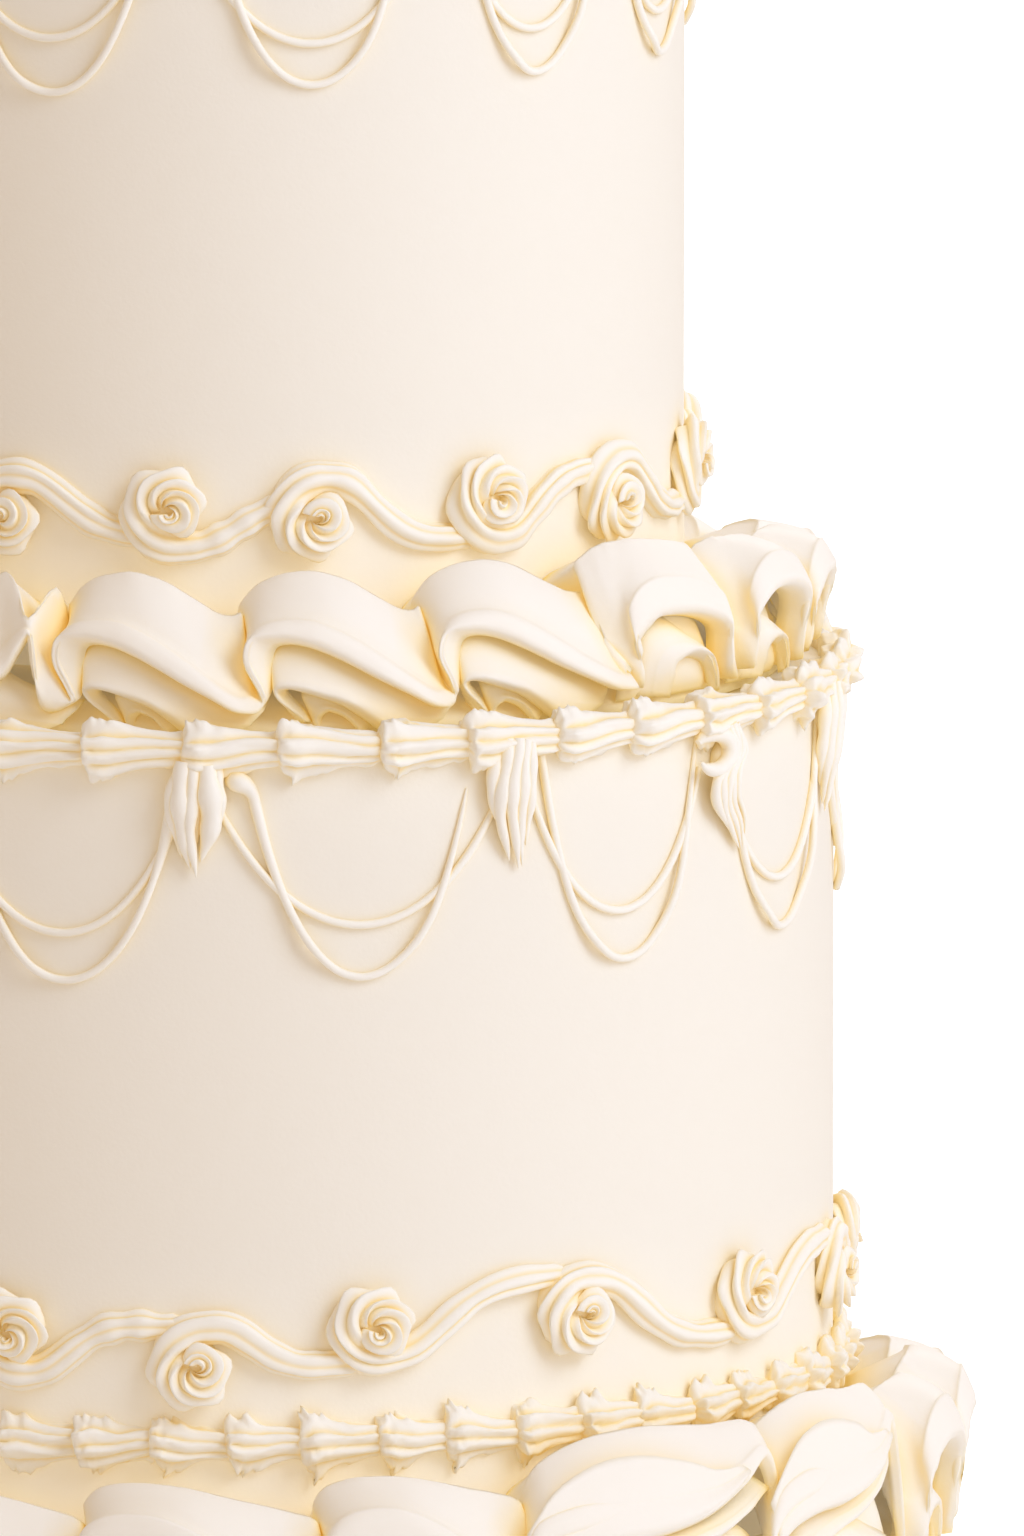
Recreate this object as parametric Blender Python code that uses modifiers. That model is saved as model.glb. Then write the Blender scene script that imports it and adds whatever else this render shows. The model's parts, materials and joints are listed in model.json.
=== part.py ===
"""A two-tier celebration cake with piped shells, scrolls, strings, tassels and ruffles.

Metres, +Z up. The origin is the middle of the flat base. An azimuth is measured from the
front, -Y, and grows towards +X.
"""

import math
import random

import bmesh
import bpy
from mathutils import Vector

# Tiers
LOWER_RADIUS = 0.0995
LOWER_HEIGHT = 0.139
UPPER_RADIUS = 0.0762
UPPER_HEIGHT = 0.134
EDGE_ROUNDING = 0.0025
TIER_SIDES = 48
TOUCH_GAP = 0.0003
FLAT_BACK_GAP = 0.0005

# Shell borders
EDGE_SHELL_SIZE = 0.0039
BAND_SHELL_SIZE = 0.0036
BAND_HEIGHT = 0.0313
UPPER_EDGE_SHELLS = 32
LOWER_EDGE_SHELLS = 42
BAND_SHELLS = 54
SHELL_SWELL = ((0.04, 1.0), (0.96, 0.66))

# Scroll borders: a rope that waves up and down, with a curl at each turn
ROPE_WIDTH = 0.0068
ROPE_THICKNESS = 0.0042
CURL_RADIUS = 0.0061
CURL_THICKNESS = 0.0062
CURL_SIDES = 6
ROPE_STATIONS = 3
UPPER_SCROLL_HEIGHT = LOWER_HEIGHT + 0.0342
UPPER_SCROLL_SWING = 0.0055
LOWER_SCROLL_HEIGHT = 0.0467
LOWER_SCROLL_SWING = 0.0040

# Strings and tassels, measured down from the tier's top edge
STRING_RADIUS = 0.0008
CROSSING_LIFT = 0.0016
SHALLOW_SHARES = (-1.0, -0.6, -0.2, 0.2, 0.6, 1.0)
DEEP_MIDDLE_SHARE = 0.3
DEEP_STRING = {"start": 0.0062, "drop": 0.0352, "left": 5.2, "right": -3.3}
SHALLOW_STRING = {"start": 0.0100, "drop": 0.0275, "left": 0.5, "right": -0.5}
HOOK_TURN = 2.4
HOOK_RISE = 0.0002
HOOK_SWELL = 1.5
# Each section of a tassel: how far down it is, its half width and its thickness
TASSEL_RINGS = ((0.0047, 0.0026, 0.0044), (0.0092, 0.0040, 0.0052),
                (0.0150, 0.0029, 0.0036), (0.0205, 0.0005, 0.0010))

# Ruffles: a folded ribbon, one fold to each turn of RUFFLE_FOLDS
RUFFLE_FOLDS = 19
RUFFLE_PHASES = (0.0, 0.1, 0.3, 0.5, 0.72, 0.93)
RIBBON_TOP = 0.0262
RIBBON_DIP = 0.0070
RIBBON_EDGE = 0.0014

# Azimuths in degrees of the pieces at the front, which are spaced by hand
UPPER_TASSELS_IN_FRONT = (-31.5, -2.5, 30.0, 56.0, 83.0)
LOWER_TASSELS_IN_FRONT = (-24.0, 0.4, 29.1, 52.5, 76.7)
UPPER_CURLS_IN_FRONT = (-21.6, -2.6, 14.0, 35.2, 56.4, 81.0)
LOWER_CURLS_IN_FRONT = (-15.9, 0.4, 16.1, 36.1, 60.6, 79.5, 97.0)
UPPER_TASSEL_COUNT = 12
LOWER_TASSEL_COUNT = 14
UPPER_CURL_COUNT = 18
LOWER_CURL_COUNT = 20

HAND = random.Random(7)


def clear_scene():
    for thing in list(bpy.data.objects):
        bpy.data.objects.remove(thing)


def make_material(name, colour, roughness):
    material = bpy.data.materials.new(name)
    material.use_nodes = True
    shader = material.node_tree.nodes["Principled BSDF"]
    shader.inputs["Base Color"].default_value = (*colour, 1.0)
    shader.inputs["Roughness"].default_value = roughness
    shader.inputs["Metallic"].default_value = 0.0
    return material


def on_ring(azimuth, radius, height):
    """The point at an azimuth in degrees, a radius and a height."""
    turn = math.radians(azimuth)
    return Vector((radius * math.sin(turn), -radius * math.cos(turn), height))


def clear_radius(radius, step):
    """The radius for corners step degrees apart, whose straight sides then clear a round wall."""
    return (radius + TOUCH_GAP) / math.cos(math.radians(step / 2))


def spread_round(in_front, count):
    """The azimuths of count pieces: those in front as given, the others evenly round the back."""
    left = count - len(in_front)
    step = (360 + in_front[0] - in_front[-1]) / (left + 1)
    behind = [in_front[-1] + step * (i + 1) + HAND.uniform(-0.7, 0.7) for i in range(left)]
    return list(in_front) + behind


def gaps_between(azimuths):
    """Each azimuth with the next one round the cake."""
    return zip(azimuths, azimuths[1:] + [azimuths[0] + 360])


def finish_mesh(name, maker, collection, material):
    bmesh.ops.recalc_face_normals(maker, faces=maker.faces)
    mesh = bpy.data.meshes.new(name)
    maker.to_mesh(mesh)
    maker.free()
    made = bpy.data.objects.new(name, mesh)
    mesh.materials.append(material)
    collection.objects.link(made)
    return made


def loft(name, stations, collection, material, closed):
    """A solid through a row of unlike sections: a ring when closed, and capped when not."""
    maker = bmesh.new()
    rows = [[maker.verts.new(point) for point in station] for station in stations]
    pairs = list(zip(rows, rows[1:] + rows[:1])) if closed else list(zip(rows, rows[1:]))
    for here, there in pairs:
        for i in range(len(here)):
            j = (i + 1) % len(here)
            maker.faces.new((here[i], here[j], there[j], there[i]))
    if not closed:
        maker.faces.new(rows[0])
        maker.faces.new(rows[-1])
    return finish_mesh(name, maker, collection, material)


def fuse(name, pieces, collection, material):
    """Joins overlapping pieces into one solid."""
    others = bpy.data.collections.new(name + "_operands")
    bpy.context.scene.collection.children.link(others)
    base = pieces[0]
    for piece in pieces[1:]:
        collection.objects.unlink(piece)
        others.objects.link(piece)
    joining = base.modifiers.new("join", "BOOLEAN")
    joining.operation = "UNION"
    joining.operand_type = "COLLECTION"
    joining.collection = others
    joining.solver = "EXACT"
    bpy.context.view_layer.update()
    evaluated = base.evaluated_get(bpy.context.evaluated_depsgraph_get())
    mesh = bpy.data.meshes.new_from_object(evaluated)
    for piece in pieces:
        bpy.data.objects.remove(piece)
    bpy.data.collections.remove(others)
    mesh.materials.clear()
    mesh.materials.append(material)
    joined = bpy.data.objects.new(name, mesh)
    collection.objects.link(joined)
    return joined


def make_tier(name, radius, bottom, top, collection, material):
    """A turned cylinder with a rounded top edge."""
    corner = [(radius - EDGE_ROUNDING * (1 - math.sin(a)), top - EDGE_ROUNDING * (1 - math.cos(a)))
              for a in (0.0, math.pi / 2)]
    profile = [(0.0, top), *corner, (radius, bottom), (0.0, bottom)]
    mesh = bpy.data.meshes.new(name)
    edges = [(i, i + 1) for i in range(len(profile) - 1)]
    mesh.from_pydata([(r, 0.0, z) for r, z in profile], edges, [])
    tier = bpy.data.objects.new(name, mesh)
    mesh.materials.append(material)
    collection.objects.link(tier)
    turning = tier.modifiers.new("turn", "SCREW")
    turning.axis = "Z"
    turning.steps = TIER_SIDES
    turning.render_steps = TIER_SIDES
    turning.use_merge_vertices = True
    turning.merge_threshold = 0.00005
    turning.use_smooth_shade = True
    return tier


def shell_stations(count, first):
    """Azimuth and swelling of each section of a border of shells, which all lean the same way."""
    pitch = 360 / count
    for i in range(count):
        start = first + pitch * i + HAND.uniform(-0.05, 0.05) * pitch
        size = HAND.uniform(0.95, 1.05)
        for share, swell in SHELL_SWELL:
            yield start + share * pitch, size * swell


def edge_shell_section(azimuth, swell, radius, foot, top):
    """Six points of a shell that sits on a tier's top edge, with its foot at the wall."""
    size = EDGE_SHELL_SIZE * swell
    middle = radius + 0.0006
    height = top - 0.0002
    outline = (
        (foot, height - size),
        (middle + 0.88 * size, height - 0.6 * size),
        (middle + 0.93 * size, height + 0.5 * size),
        (middle - 0.1 * size, height + 1.05 * size),
        (middle - size, top + TOUCH_GAP),
        (foot, top + TOUCH_GAP),
    )
    return [on_ring(azimuth, r, z) for r, z in outline]


def band_shell_section(azimuth, swell, foot):
    """Four points of a shell that lies on the lower tier's side."""
    size = BAND_SHELL_SIZE * swell
    outline = (
        (foot, BAND_HEIGHT - size),
        (LOWER_RADIUS + 1.15 * size, BAND_HEIGHT - 0.55 * size),
        (LOWER_RADIUS + 1.15 * size, BAND_HEIGHT + 0.55 * size),
        (foot, BAND_HEIGHT + size),
    )
    return [on_ring(azimuth, r, z) for r, z in outline]


def make_edge_shells(name, count, first, radius, top, collection, material):
    foot = clear_radius(radius, 360 / count)
    stations = [edge_shell_section(a, s, radius, foot, top) for a, s in shell_stations(count, first)]
    return loft(name, stations, collection, material, closed=True)


def make_band_shells(name, first, collection, material):
    foot = clear_radius(LOWER_RADIUS, 360 / BAND_SHELLS)
    stations = [band_shell_section(a, s, foot) for a, s in shell_stations(BAND_SHELLS, first)]
    return loft(name, stations, collection, material, closed=True)


def rope_section(azimuth, foot, height):
    half = ROPE_WIDTH / 2
    outline = ((0.0, -1.0), (0.95, -0.58), (0.95, 0.58), (0.0, 1.0))
    return [on_ring(azimuth, foot + out * ROPE_THICKNESS, height + up * half) for out, up in outline]


def make_curl(azimuth, radius, height, turning, collection, material):
    """A low swirl: rings of points that twist towards a sunk middle."""
    rings = ((FLAT_BACK_GAP, 1.0, 0.0), (0.72 * CURL_THICKNESS, 0.95, 0.5), (CURL_THICKNESS, 0.45, 1.3))
    size = CURL_RADIUS * HAND.uniform(0.93, 1.05)
    maker = bmesh.new()

    def place(across, up, out):
        return maker.verts.new(on_ring(azimuth + math.degrees(across / radius), radius + out, height + up))

    rows = []
    for out, share, twist in rings:
        angles = [(2 * math.pi * i / CURL_SIDES + twist) * turning for i in range(CURL_SIDES)]
        rows.append([place(size * share * math.cos(a), size * share * math.sin(a), out) for a in angles])
    middle = place(0.0, 0.0, 0.7 * CURL_THICKNESS)
    for here, there in zip(rows, rows[1:]):
        for i in range(CURL_SIDES):
            j = (i + 1) % CURL_SIDES
            maker.faces.new((here[i], here[j], there[j]))
            maker.faces.new((here[i], there[j], there[i]))
    for i in range(CURL_SIDES):
        maker.faces.new((rows[-1][i], rows[-1][(i + 1) % CURL_SIDES], middle))
    maker.faces.new(rows[0])
    return finish_mesh("curl", maker, collection, material)


def make_scrolls(name, in_front, count, first_is_low, radius, height, swing, collection, material):
    """A rope that passes below one curl and above the next."""
    curls = spread_round(in_front, count)
    widest = max(there - here for here, there in gaps_between(curls))
    foot = clear_radius(radius, widest / ROPE_STATIONS)
    side = -1 if first_is_low else 1
    stations = []
    for here, there in gaps_between(curls):
        for i in range(ROPE_STATIONS):
            share = i / ROPE_STATIONS
            wave = side * swing * math.cos(math.pi * share)
            stations.append(rope_section(here + share * (there - here), foot, height + wave))
        side = -side
    pieces = [loft("rope", stations, collection, material, closed=True)]
    turning = 1 if first_is_low else -1
    for azimuth in curls:
        pieces.append(make_curl(azimuth, radius, height, turning, collection, material))
        turning = -turning
    return fuse(name, pieces, collection, material)


def steepness(half_width, fall):
    """How steep a chain is that hangs by fall over twice half_width."""
    low, high = 0.01, 12.0
    for _ in range(40):
        middle = (low + high) / 2
        if (math.cosh(middle) - 1) / middle < fall / half_width:
            low = middle
        else:
            high = middle
    return middle


class HangingLine:
    """The line of a string that hangs on a tier's side between two azimuths."""

    def __init__(self, left, right, start, drop, radius, top):
        self.left, self.right = left, right
        self.top = top - start
        self.fall = drop - start
        self.steep = steepness(math.radians(right - left) / 2 * radius, self.fall)

    def azimuth(self, share):
        return self.left + (share + 1) / 2 * (self.right - self.left)

    def height(self, azimuth):
        share = 2 * (azimuth - self.left) / (self.right - self.left) - 1
        rise = (math.cosh(self.steep * share) - 1) / (math.cosh(self.steep) - 1)
        return self.top - self.fall * (1 - rise)


def crossing_share(deep, shallow):
    """The share of its half width at which the deep string crosses the shallow one."""
    low, high = 0.0, 1.0
    for _ in range(30):
        middle = (low + high) / 2
        azimuth = deep.azimuth(-middle)
        if deep.height(azimuth) < shallow.height(azimuth):
            low = middle
        else:
            high = middle
    return middle


def make_string(knots, radius, collection, material):
    """A string with a flat back, through knots of azimuth, height, lift off the wall and swelling."""
    widest = max(there[0] - here[0] for here, there in zip(knots, knots[1:]))
    foot = clear_radius(radius, widest)
    points = [on_ring(azimuth, foot + lift, height) for azimuth, height, lift, _ in knots]
    stations = []
    for i, (azimuth, _, _, swelling) in enumerate(knots):
        along = points[min(i + 1, len(points) - 1)] - points[max(i - 1, 0)]
        outward = on_ring(azimuth, 1.0, 0.0)
        aside = along.cross(outward).normalized() * STRING_RADIUS * swelling
        ridge = outward * STRING_RADIUS * swelling * 1.8
        stations.append([points[i] - aside, points[i] + ridge, points[i] + aside])
    return loft("string", stations, collection, material, closed=False)


def make_swag(here, there, radius, top, collection, material):
    """A deep and a shallow string between the tassels at two azimuths; the deep one lies on top."""
    lines = []
    for kind in (DEEP_STRING, SHALLOW_STRING):
        left, right = here + kind["left"], there + kind["right"]
        drop = kind["drop"] * HAND.uniform(0.97, 1.03)
        lines.append(HangingLine(left, right, kind["start"], drop, radius, top))
    deep, shallow = lines
    crossing = crossing_share(deep, shallow)
    shares = ((-1.0, 0.0), (-crossing, CROSSING_LIFT), (-DEEP_MIDDLE_SHARE, 0.0),
              (DEEP_MIDDLE_SHARE, 0.0), (crossing, CROSSING_LIFT), (1.0, 0.0))
    knots = [(deep.left - HOOK_TURN, deep.top + HOOK_RISE, 0.0, HOOK_SWELL)]
    knots += [(deep.azimuth(s), deep.height(deep.azimuth(s)), lift, 1.0) for s, lift in shares]
    low_turns = [shallow.azimuth(s) for s in SHALLOW_SHARES]
    low_knots = [(turn, shallow.height(turn), 0.0, 1.0) for turn in low_turns]
    return [make_string(row, radius, collection, material) for row in (knots, low_knots)]


def make_tassel(azimuth, radius, top, collection, material):
    """A pulled shell that points down, flat at the back."""
    lean = HAND.uniform(-0.0006, 0.0006)
    stations = []
    for down, half, thick in TASSEL_RINGS:
        outline = ((-1.0, 0.0), (-0.6, 0.95), (0.6, 0.95), (1.0, 0.0))
        section = []
        for across, out in outline:
            aside = across * half + lean * down / TASSEL_RINGS[-1][0]
            turn = azimuth + math.degrees(aside / radius)
            section.append(on_ring(turn, radius + FLAT_BACK_GAP + out * thick, top - down))
        stations.append(section)
    return loft("tassel", stations, collection, material, closed=False)


def make_stringwork(name, in_front, count, radius, top, collection, material):
    """Tassels, with a deep and a shallow string between each two."""
    tassels = spread_round(in_front, count)
    pieces = [make_tassel(a, radius, top, collection, material) for a in tassels]
    for here, there in gaps_between(tassels):
        pieces += make_swag(here, there, radius, top, collection, material)
    return fuse(name, pieces, collection, material)


def ruffle_outline(phase, radius):
    """Seven points of the ruffle's section, from the foot at the wall round to the outer foot.

    phase runs over one fold from left to right. The ribbon's top edge rises and dips, its
    crest and hem run down to the right, and a second ribbon shows under the hem.
    """
    rise = math.sin(math.pi * phase ** 0.8)
    slope = phase ** 1.1
    foot_swing = math.sin(2 * math.pi * phase)
    ribbon_top = RIBBON_TOP - RIBBON_DIP * (1 - rise)
    arch = min(1.0, phase / 0.12)
    return (
        (radius + TOUCH_GAP, 0.0),
        (radius + TOUCH_GAP, ribbon_top - 0.0095),
        (radius + 0.0060 + 0.0035 * rise - RIBBON_EDGE, ribbon_top),
        (radius + 0.0125 + 0.0058 * rise * arch, 0.0190 * arch + 0.008 * (1 - arch) - 0.0115 * slope),
        (radius + 0.0135 + 0.0068 * rise * arch, 0.0158 * arch + 0.005 * (1 - arch) - 0.0112 * slope),
        (radius + 0.0120 + 0.0040 * rise * arch, 0.0110 * arch + 0.003 * (1 - arch) - 0.0085 * slope),
        (radius + 0.0145 + 0.0012 * foot_swing, 0.0),
    )


def make_ruffle(name, first, radius, bottom, collection, material):
    stations = []
    pitch = 360 / RUFFLE_FOLDS
    for fold in range(RUFFLE_FOLDS):
        start = first + pitch * fold + HAND.uniform(-0.04, 0.04) * pitch
        height = HAND.uniform(0.96, 1.0)
        for phase in RUFFLE_PHASES:
            section = ruffle_outline(phase, radius)
            stations.append([on_ring(start + phase * pitch, r, bottom + z * height) for r, z in section])
    return loft(name, stations, collection, material, closed=True)


def main():
    clear_scene()
    cake = bpy.data.collections.new("piped_cake")
    bpy.context.scene.collection.children.link(cake)
    covering = make_material("smooth_covering", (0.86, 0.80, 0.72), 0.62)
    cream = make_material("piped_cream", (0.90, 0.83, 0.69), 0.45)
    ribbon = make_material("ribbon_cream", (0.89, 0.82, 0.69), 0.5)
    full_height = LOWER_HEIGHT + UPPER_HEIGHT
    ledge = LOWER_HEIGHT + TOUCH_GAP
    make_tier("lower_tier", LOWER_RADIUS, 0.0, LOWER_HEIGHT, cake, covering)
    make_tier("upper_tier", UPPER_RADIUS, ledge, full_height, cake, covering)
    make_edge_shells("upper_edge_shells", UPPER_EDGE_SHELLS, 2.0, UPPER_RADIUS, full_height, cake, cream)
    make_edge_shells("lower_edge_shells", LOWER_EDGE_SHELLS, -0.3, LOWER_RADIUS, LOWER_HEIGHT, cake, cream)
    make_band_shells("lower_band_shells", -3.3, cake, cream)
    make_scrolls("upper_scrolls", UPPER_CURLS_IN_FRONT, UPPER_CURL_COUNT, False, UPPER_RADIUS,
                 UPPER_SCROLL_HEIGHT, UPPER_SCROLL_SWING, cake, cream)
    make_scrolls("lower_scrolls", LOWER_CURLS_IN_FRONT, LOWER_CURL_COUNT, True, LOWER_RADIUS,
                 LOWER_SCROLL_HEIGHT, LOWER_SCROLL_SWING, cake, cream)
    make_stringwork("upper_stringwork", UPPER_TASSELS_IN_FRONT, UPPER_TASSEL_COUNT, UPPER_RADIUS,
                    full_height, cake, cream)
    make_stringwork("lower_stringwork", LOWER_TASSELS_IN_FRONT, LOWER_TASSEL_COUNT, LOWER_RADIUS,
                    LOWER_HEIGHT, cake, cream)
    make_ruffle("upper_ruffle", 4.8, UPPER_RADIUS, ledge, cake, ribbon)
    make_ruffle("lower_ruffle", -9.0, LOWER_RADIUS, 0.0, cake, ribbon)


main()
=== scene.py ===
"""The looks of a two-tier piped cake, built round its fixed frame.

Metres, +Z up. An azimuth is in degrees from the front, -Y, and grows towards +X, as in the frame.
Piped pieces are first made as seen from the front: x to the right, -y towards the viewer, z up.
"""

import json
import math
from types import SimpleNamespace

import bmesh
import bpy
import numpy as np
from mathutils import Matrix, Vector

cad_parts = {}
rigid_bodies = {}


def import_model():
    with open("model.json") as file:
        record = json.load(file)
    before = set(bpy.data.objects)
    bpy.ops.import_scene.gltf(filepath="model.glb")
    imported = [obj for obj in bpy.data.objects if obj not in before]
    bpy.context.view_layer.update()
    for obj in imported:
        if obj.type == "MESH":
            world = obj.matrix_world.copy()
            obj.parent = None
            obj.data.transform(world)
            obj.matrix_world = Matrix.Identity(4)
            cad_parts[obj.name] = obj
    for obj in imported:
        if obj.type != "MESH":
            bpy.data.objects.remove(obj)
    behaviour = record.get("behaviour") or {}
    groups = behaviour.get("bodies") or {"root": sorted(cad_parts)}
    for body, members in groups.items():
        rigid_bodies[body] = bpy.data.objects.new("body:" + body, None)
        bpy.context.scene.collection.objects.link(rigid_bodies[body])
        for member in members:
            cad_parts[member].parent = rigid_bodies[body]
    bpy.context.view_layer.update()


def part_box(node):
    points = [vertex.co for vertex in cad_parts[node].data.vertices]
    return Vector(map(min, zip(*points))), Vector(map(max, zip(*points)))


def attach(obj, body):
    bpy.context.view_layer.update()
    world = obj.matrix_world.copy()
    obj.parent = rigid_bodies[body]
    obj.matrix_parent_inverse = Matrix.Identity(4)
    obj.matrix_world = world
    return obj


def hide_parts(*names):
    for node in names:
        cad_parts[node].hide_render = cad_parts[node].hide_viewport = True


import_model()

MM = 0.001

EDGE_ROUNDING = 2.2 * MM
LOWER_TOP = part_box("lower_tier")[1][2]

# What belongs to each tier. Its sizes are the frame's. Its tassels, curls and folds are azimuths in
# degrees of those at the front, as the baker spaced them by hand, then how many there are in all.
# Rises and reaches are of the first pieces: mm up for a curl, and for a fold a factor up and mm out.
# Then comes painted light: how much light the borders throw back on the wall at each height in mm, which the
# covering paints on warm and glowing. The swing is how far, in mm, the rope of scrolls swings to either side.
UPPER = SimpleNamespace(
    radius=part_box("upper_tier")[1][0], foot=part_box("upper_tier")[0][2], top=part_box("upper_tier")[1][2],
    thrown_light=((18, 1.0), (26, .7), (34, .3), (46, .0)),
    edge_shells=dict(Count=32, First=2.0, Seed=9),
    tassels=(-31.5, -2.5, 30.0, 56.0, 83.0), tassel_count=12,
    curls=(-21.6, -2.6, 14.0, 36.2, 56.4, 81.0), curl_count=18, curl_rises=(0.0, 0.0, 0.0, 0.0, -1.6, -0.6),
    scroll_height=LOWER_TOP + 33.4 * MM, first_side=1, swing=5.1,
    folds=(-13.0, 4.8, 23.6, 41.6, 60.0, 75.5, 90.0), ledge=LOWER_TOP + 0.3 * MM, lip_rise=1.0,
    fold_kinds=["slanting"] * 2 + ["long", "open"] + ["flared"] * 3 + ["slanting", "long", "open", "pinched"] * 3,
    fold_rises=(1.0, 1.0, 1.0, 1.04, .96, .88, .84, .70, .74), fold_reaches=(0, 0, 0, 0, .8, 1.8, 1.8))
LOWER = SimpleNamespace(
    radius=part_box("lower_tier")[1][0], foot=0.0, top=LOWER_TOP,
    thrown_light=((20, 1.0), (28, .8), (40, .35), (60, .0), (120, .0), (137, .15)),
    edge_shells=dict(Count=42, First=-0.3 + 8.57 / 2, Seed=3),
    tassels=(-24.0, 0.4, 29.5, 52.5, 76.7), tassel_count=14,
    curls=(-15.9, 0.4, 16.1, 36.1, 57.8, 79.5, 97.0), curl_count=20, curl_rises=(0.8, -2.3, 1.5, 3.0, 0.8, 0.0, 0.0),
    scroll_height=46.7 * MM, first_side=-1, swing=4.2,
    folds=(-28.0, -9.0, 9.9, 27.0, 50.5, 69.0, 81.5, 94.0), ledge=0.0, lip_rise=1.22,
    fold_kinds=["slanting"] * 3 + ["leaf"] * 2 + ["flared"] * 3 + ["slanting", "slanting", "open", "leaf"] * 3,
    fold_rises=(1.0, 1.0, 1.0, 1.07, 1.10, 1.13, 1.18, 1.20), fold_reaches=(0, 0, 0, 0, .2, .4, .4))
BAND_HEIGHT = 31.3 * MM
# A shell's length, its size and how ragged it is
EDGE_SHELL = (17.0 * MM, 3.75 * MM, 1.0)
BAND_SHELL = (13.2 * MM, 3.6 * MM, 1.2)

hand = np.random.default_rng(11)


def on_ring(azimuth, radius, height):
    """The point at an azimuth in degrees, a radius and a height."""
    turn = np.radians(azimuth)
    x, y = radius * np.sin(turn), -radius * np.cos(turn)
    return np.stack(np.broadcast_arrays(x, y, height), axis=-1)


def on_wall(azimuth, radius, height, across, out, up):
    """The point that lies across, out and up, in mm, from an azimuth, a radius and a height."""
    return on_ring(azimuth + np.degrees(across * MM / radius), radius + out * MM, height + up * MM)


def spread_round(in_front, count):
    """The azimuths of count pieces: those in front as given, the others evenly round the back."""
    left = count - len(in_front)
    step = (360 + in_front[0] - in_front[-1]) / (left + 1)
    behind = [in_front[-1] + step * (i + 1) + hand.uniform(-0.7, 0.7) for i in range(left)]
    return list(in_front) + behind


def gaps_between(azimuths):
    """Each azimuth with the next one round the cake."""
    return list(zip(azimuths, azimuths[1:] + [azimuths[0] + 360]))


def smooth_step(value, low, high):
    share = np.clip((value - low) / (high - low), 0.0, 1.0)
    return share * share * (3 - 2 * share)


def through(points, steps, closed=False):
    """A smooth line through the points, along the first axis, with steps to each span."""
    points = np.asarray(points, float)
    if closed:
        around = np.concatenate([points[-1:], points, points[:2]])
    else:
        around = np.concatenate([2 * points[:1] - points[1:2], points, 2 * points[-1:] - points[-2:-1]])
    t = (np.arange(steps) / steps).reshape((-1,) + (1,) * (points.ndim - 1))
    spans = []
    for i in range(len(around) - 3):
        a, b, c, d = around[i:i + 4]
        spans.append(0.5 * (2 * b + (c - a) * t + (2 * a - 5 * b + 4 * c - d) * t ** 2
                            + (3 * b - a - 3 * c + d) * t ** 3))
    if not closed:
        spans.append(points[-1:])
    return np.concatenate(spans)


def sheet_through(rows, steps, across, closed=False):
    """A smooth sheet through rows of points, with steps to each span along it and across it."""
    sheet = through(rows, steps, closed).transpose(1, 0, 2)
    return through(sheet, across).transpose(1, 0, 2)


def drawn(*ranges):
    """One random value from each range."""
    return [hand.uniform(low, high) for low, high in ranges]


def unit(vectors):
    return vectors / np.maximum(np.linalg.norm(vectors, axis=-1, keepdims=True), 1e-12)


def ripple(turns, rates):
    """Soft uneven swings of about one unit along the turns, in radians, at each of the rates."""
    phases = hand.uniform(0, 2 * math.pi, len(rates))
    sizes = hand.normal(0, 1, len(rates)) / math.sqrt(len(rates))
    return (np.sin(turns[:, None] * rates + phases) * sizes).sum(-1) * 1.4


# Meshes


def add_object(name, data):
    made = bpy.data.objects.new(name, data)
    bpy.context.scene.collection.objects.link(made)
    return made


def mark(mesh, label, values):
    """Gives each point of a mesh its value under the label."""
    mesh.attributes.new(label, "FLOAT", "POINT").data.foreach_set("value", np.asarray(values, np.float32))


def mesh_piece(name, points, faces, material=None, edges=(), **marks):
    mesh = bpy.data.meshes.new(name)
    mesh.from_pydata([tuple(p) for p in points], edges, faces)
    for label, values in marks.items():
        mark(mesh, label, values)
    if faces:
        mesh.shade_smooth()
    if material:
        mesh.materials.append(material)
    return add_object(name, mesh)


def line_piece(name, points, edges, **marks):
    """A piece without faces."""
    return mesh_piece(name, points, [], edges=edges, **marks)


def skin(rows, closed=False):
    """Points and faces of a closed skin over rows of points that each run once round it."""
    rows = np.asarray(rows)
    count, around = rows.shape[:2]
    index = np.arange(count * around).reshape(count, around)
    last = count if closed else count - 1
    here, there = index[:last], np.roll(index, -1, axis=0)[:last]
    faces = np.stack([here, np.roll(here, -1, 1), np.roll(there, -1, 1), there], -1).reshape(-1, 4).tolist()
    if not closed:
        faces.append(index[0][::-1].tolist())
        faces.append(index[-1].tolist())
    return rows.reshape(-1, 3), faces


def rough_piece(name, rows, grooves, roughness, material):
    """A piece with a skin over rows of points, each of which strays a little."""
    points, faces = skin(rows)
    points = points + hand.normal(0, roughness, points.shape)
    # The groove mark, how deep in a groove each point lies, is where the icing paints shade and a faint glow
    return mesh_piece(name, points, faces, material, groove=np.concatenate(grooves))


def turn_outwards(piece):
    maker = bmesh.new()
    maker.from_mesh(piece.data)
    bmesh.ops.recalc_face_normals(maker, faces=maker.faces)
    maker.to_mesh(piece.data)
    maker.free()


def join(name, pieces):
    """One piece from several, whose meshes are joined."""
    with bpy.context.temp_override(active_object=pieces[0], selected_editable_objects=pieces):
        bpy.ops.object.join()
    pieces[0].name = name
    pieces[0].data.name = name
    return pieces[0]


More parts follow.
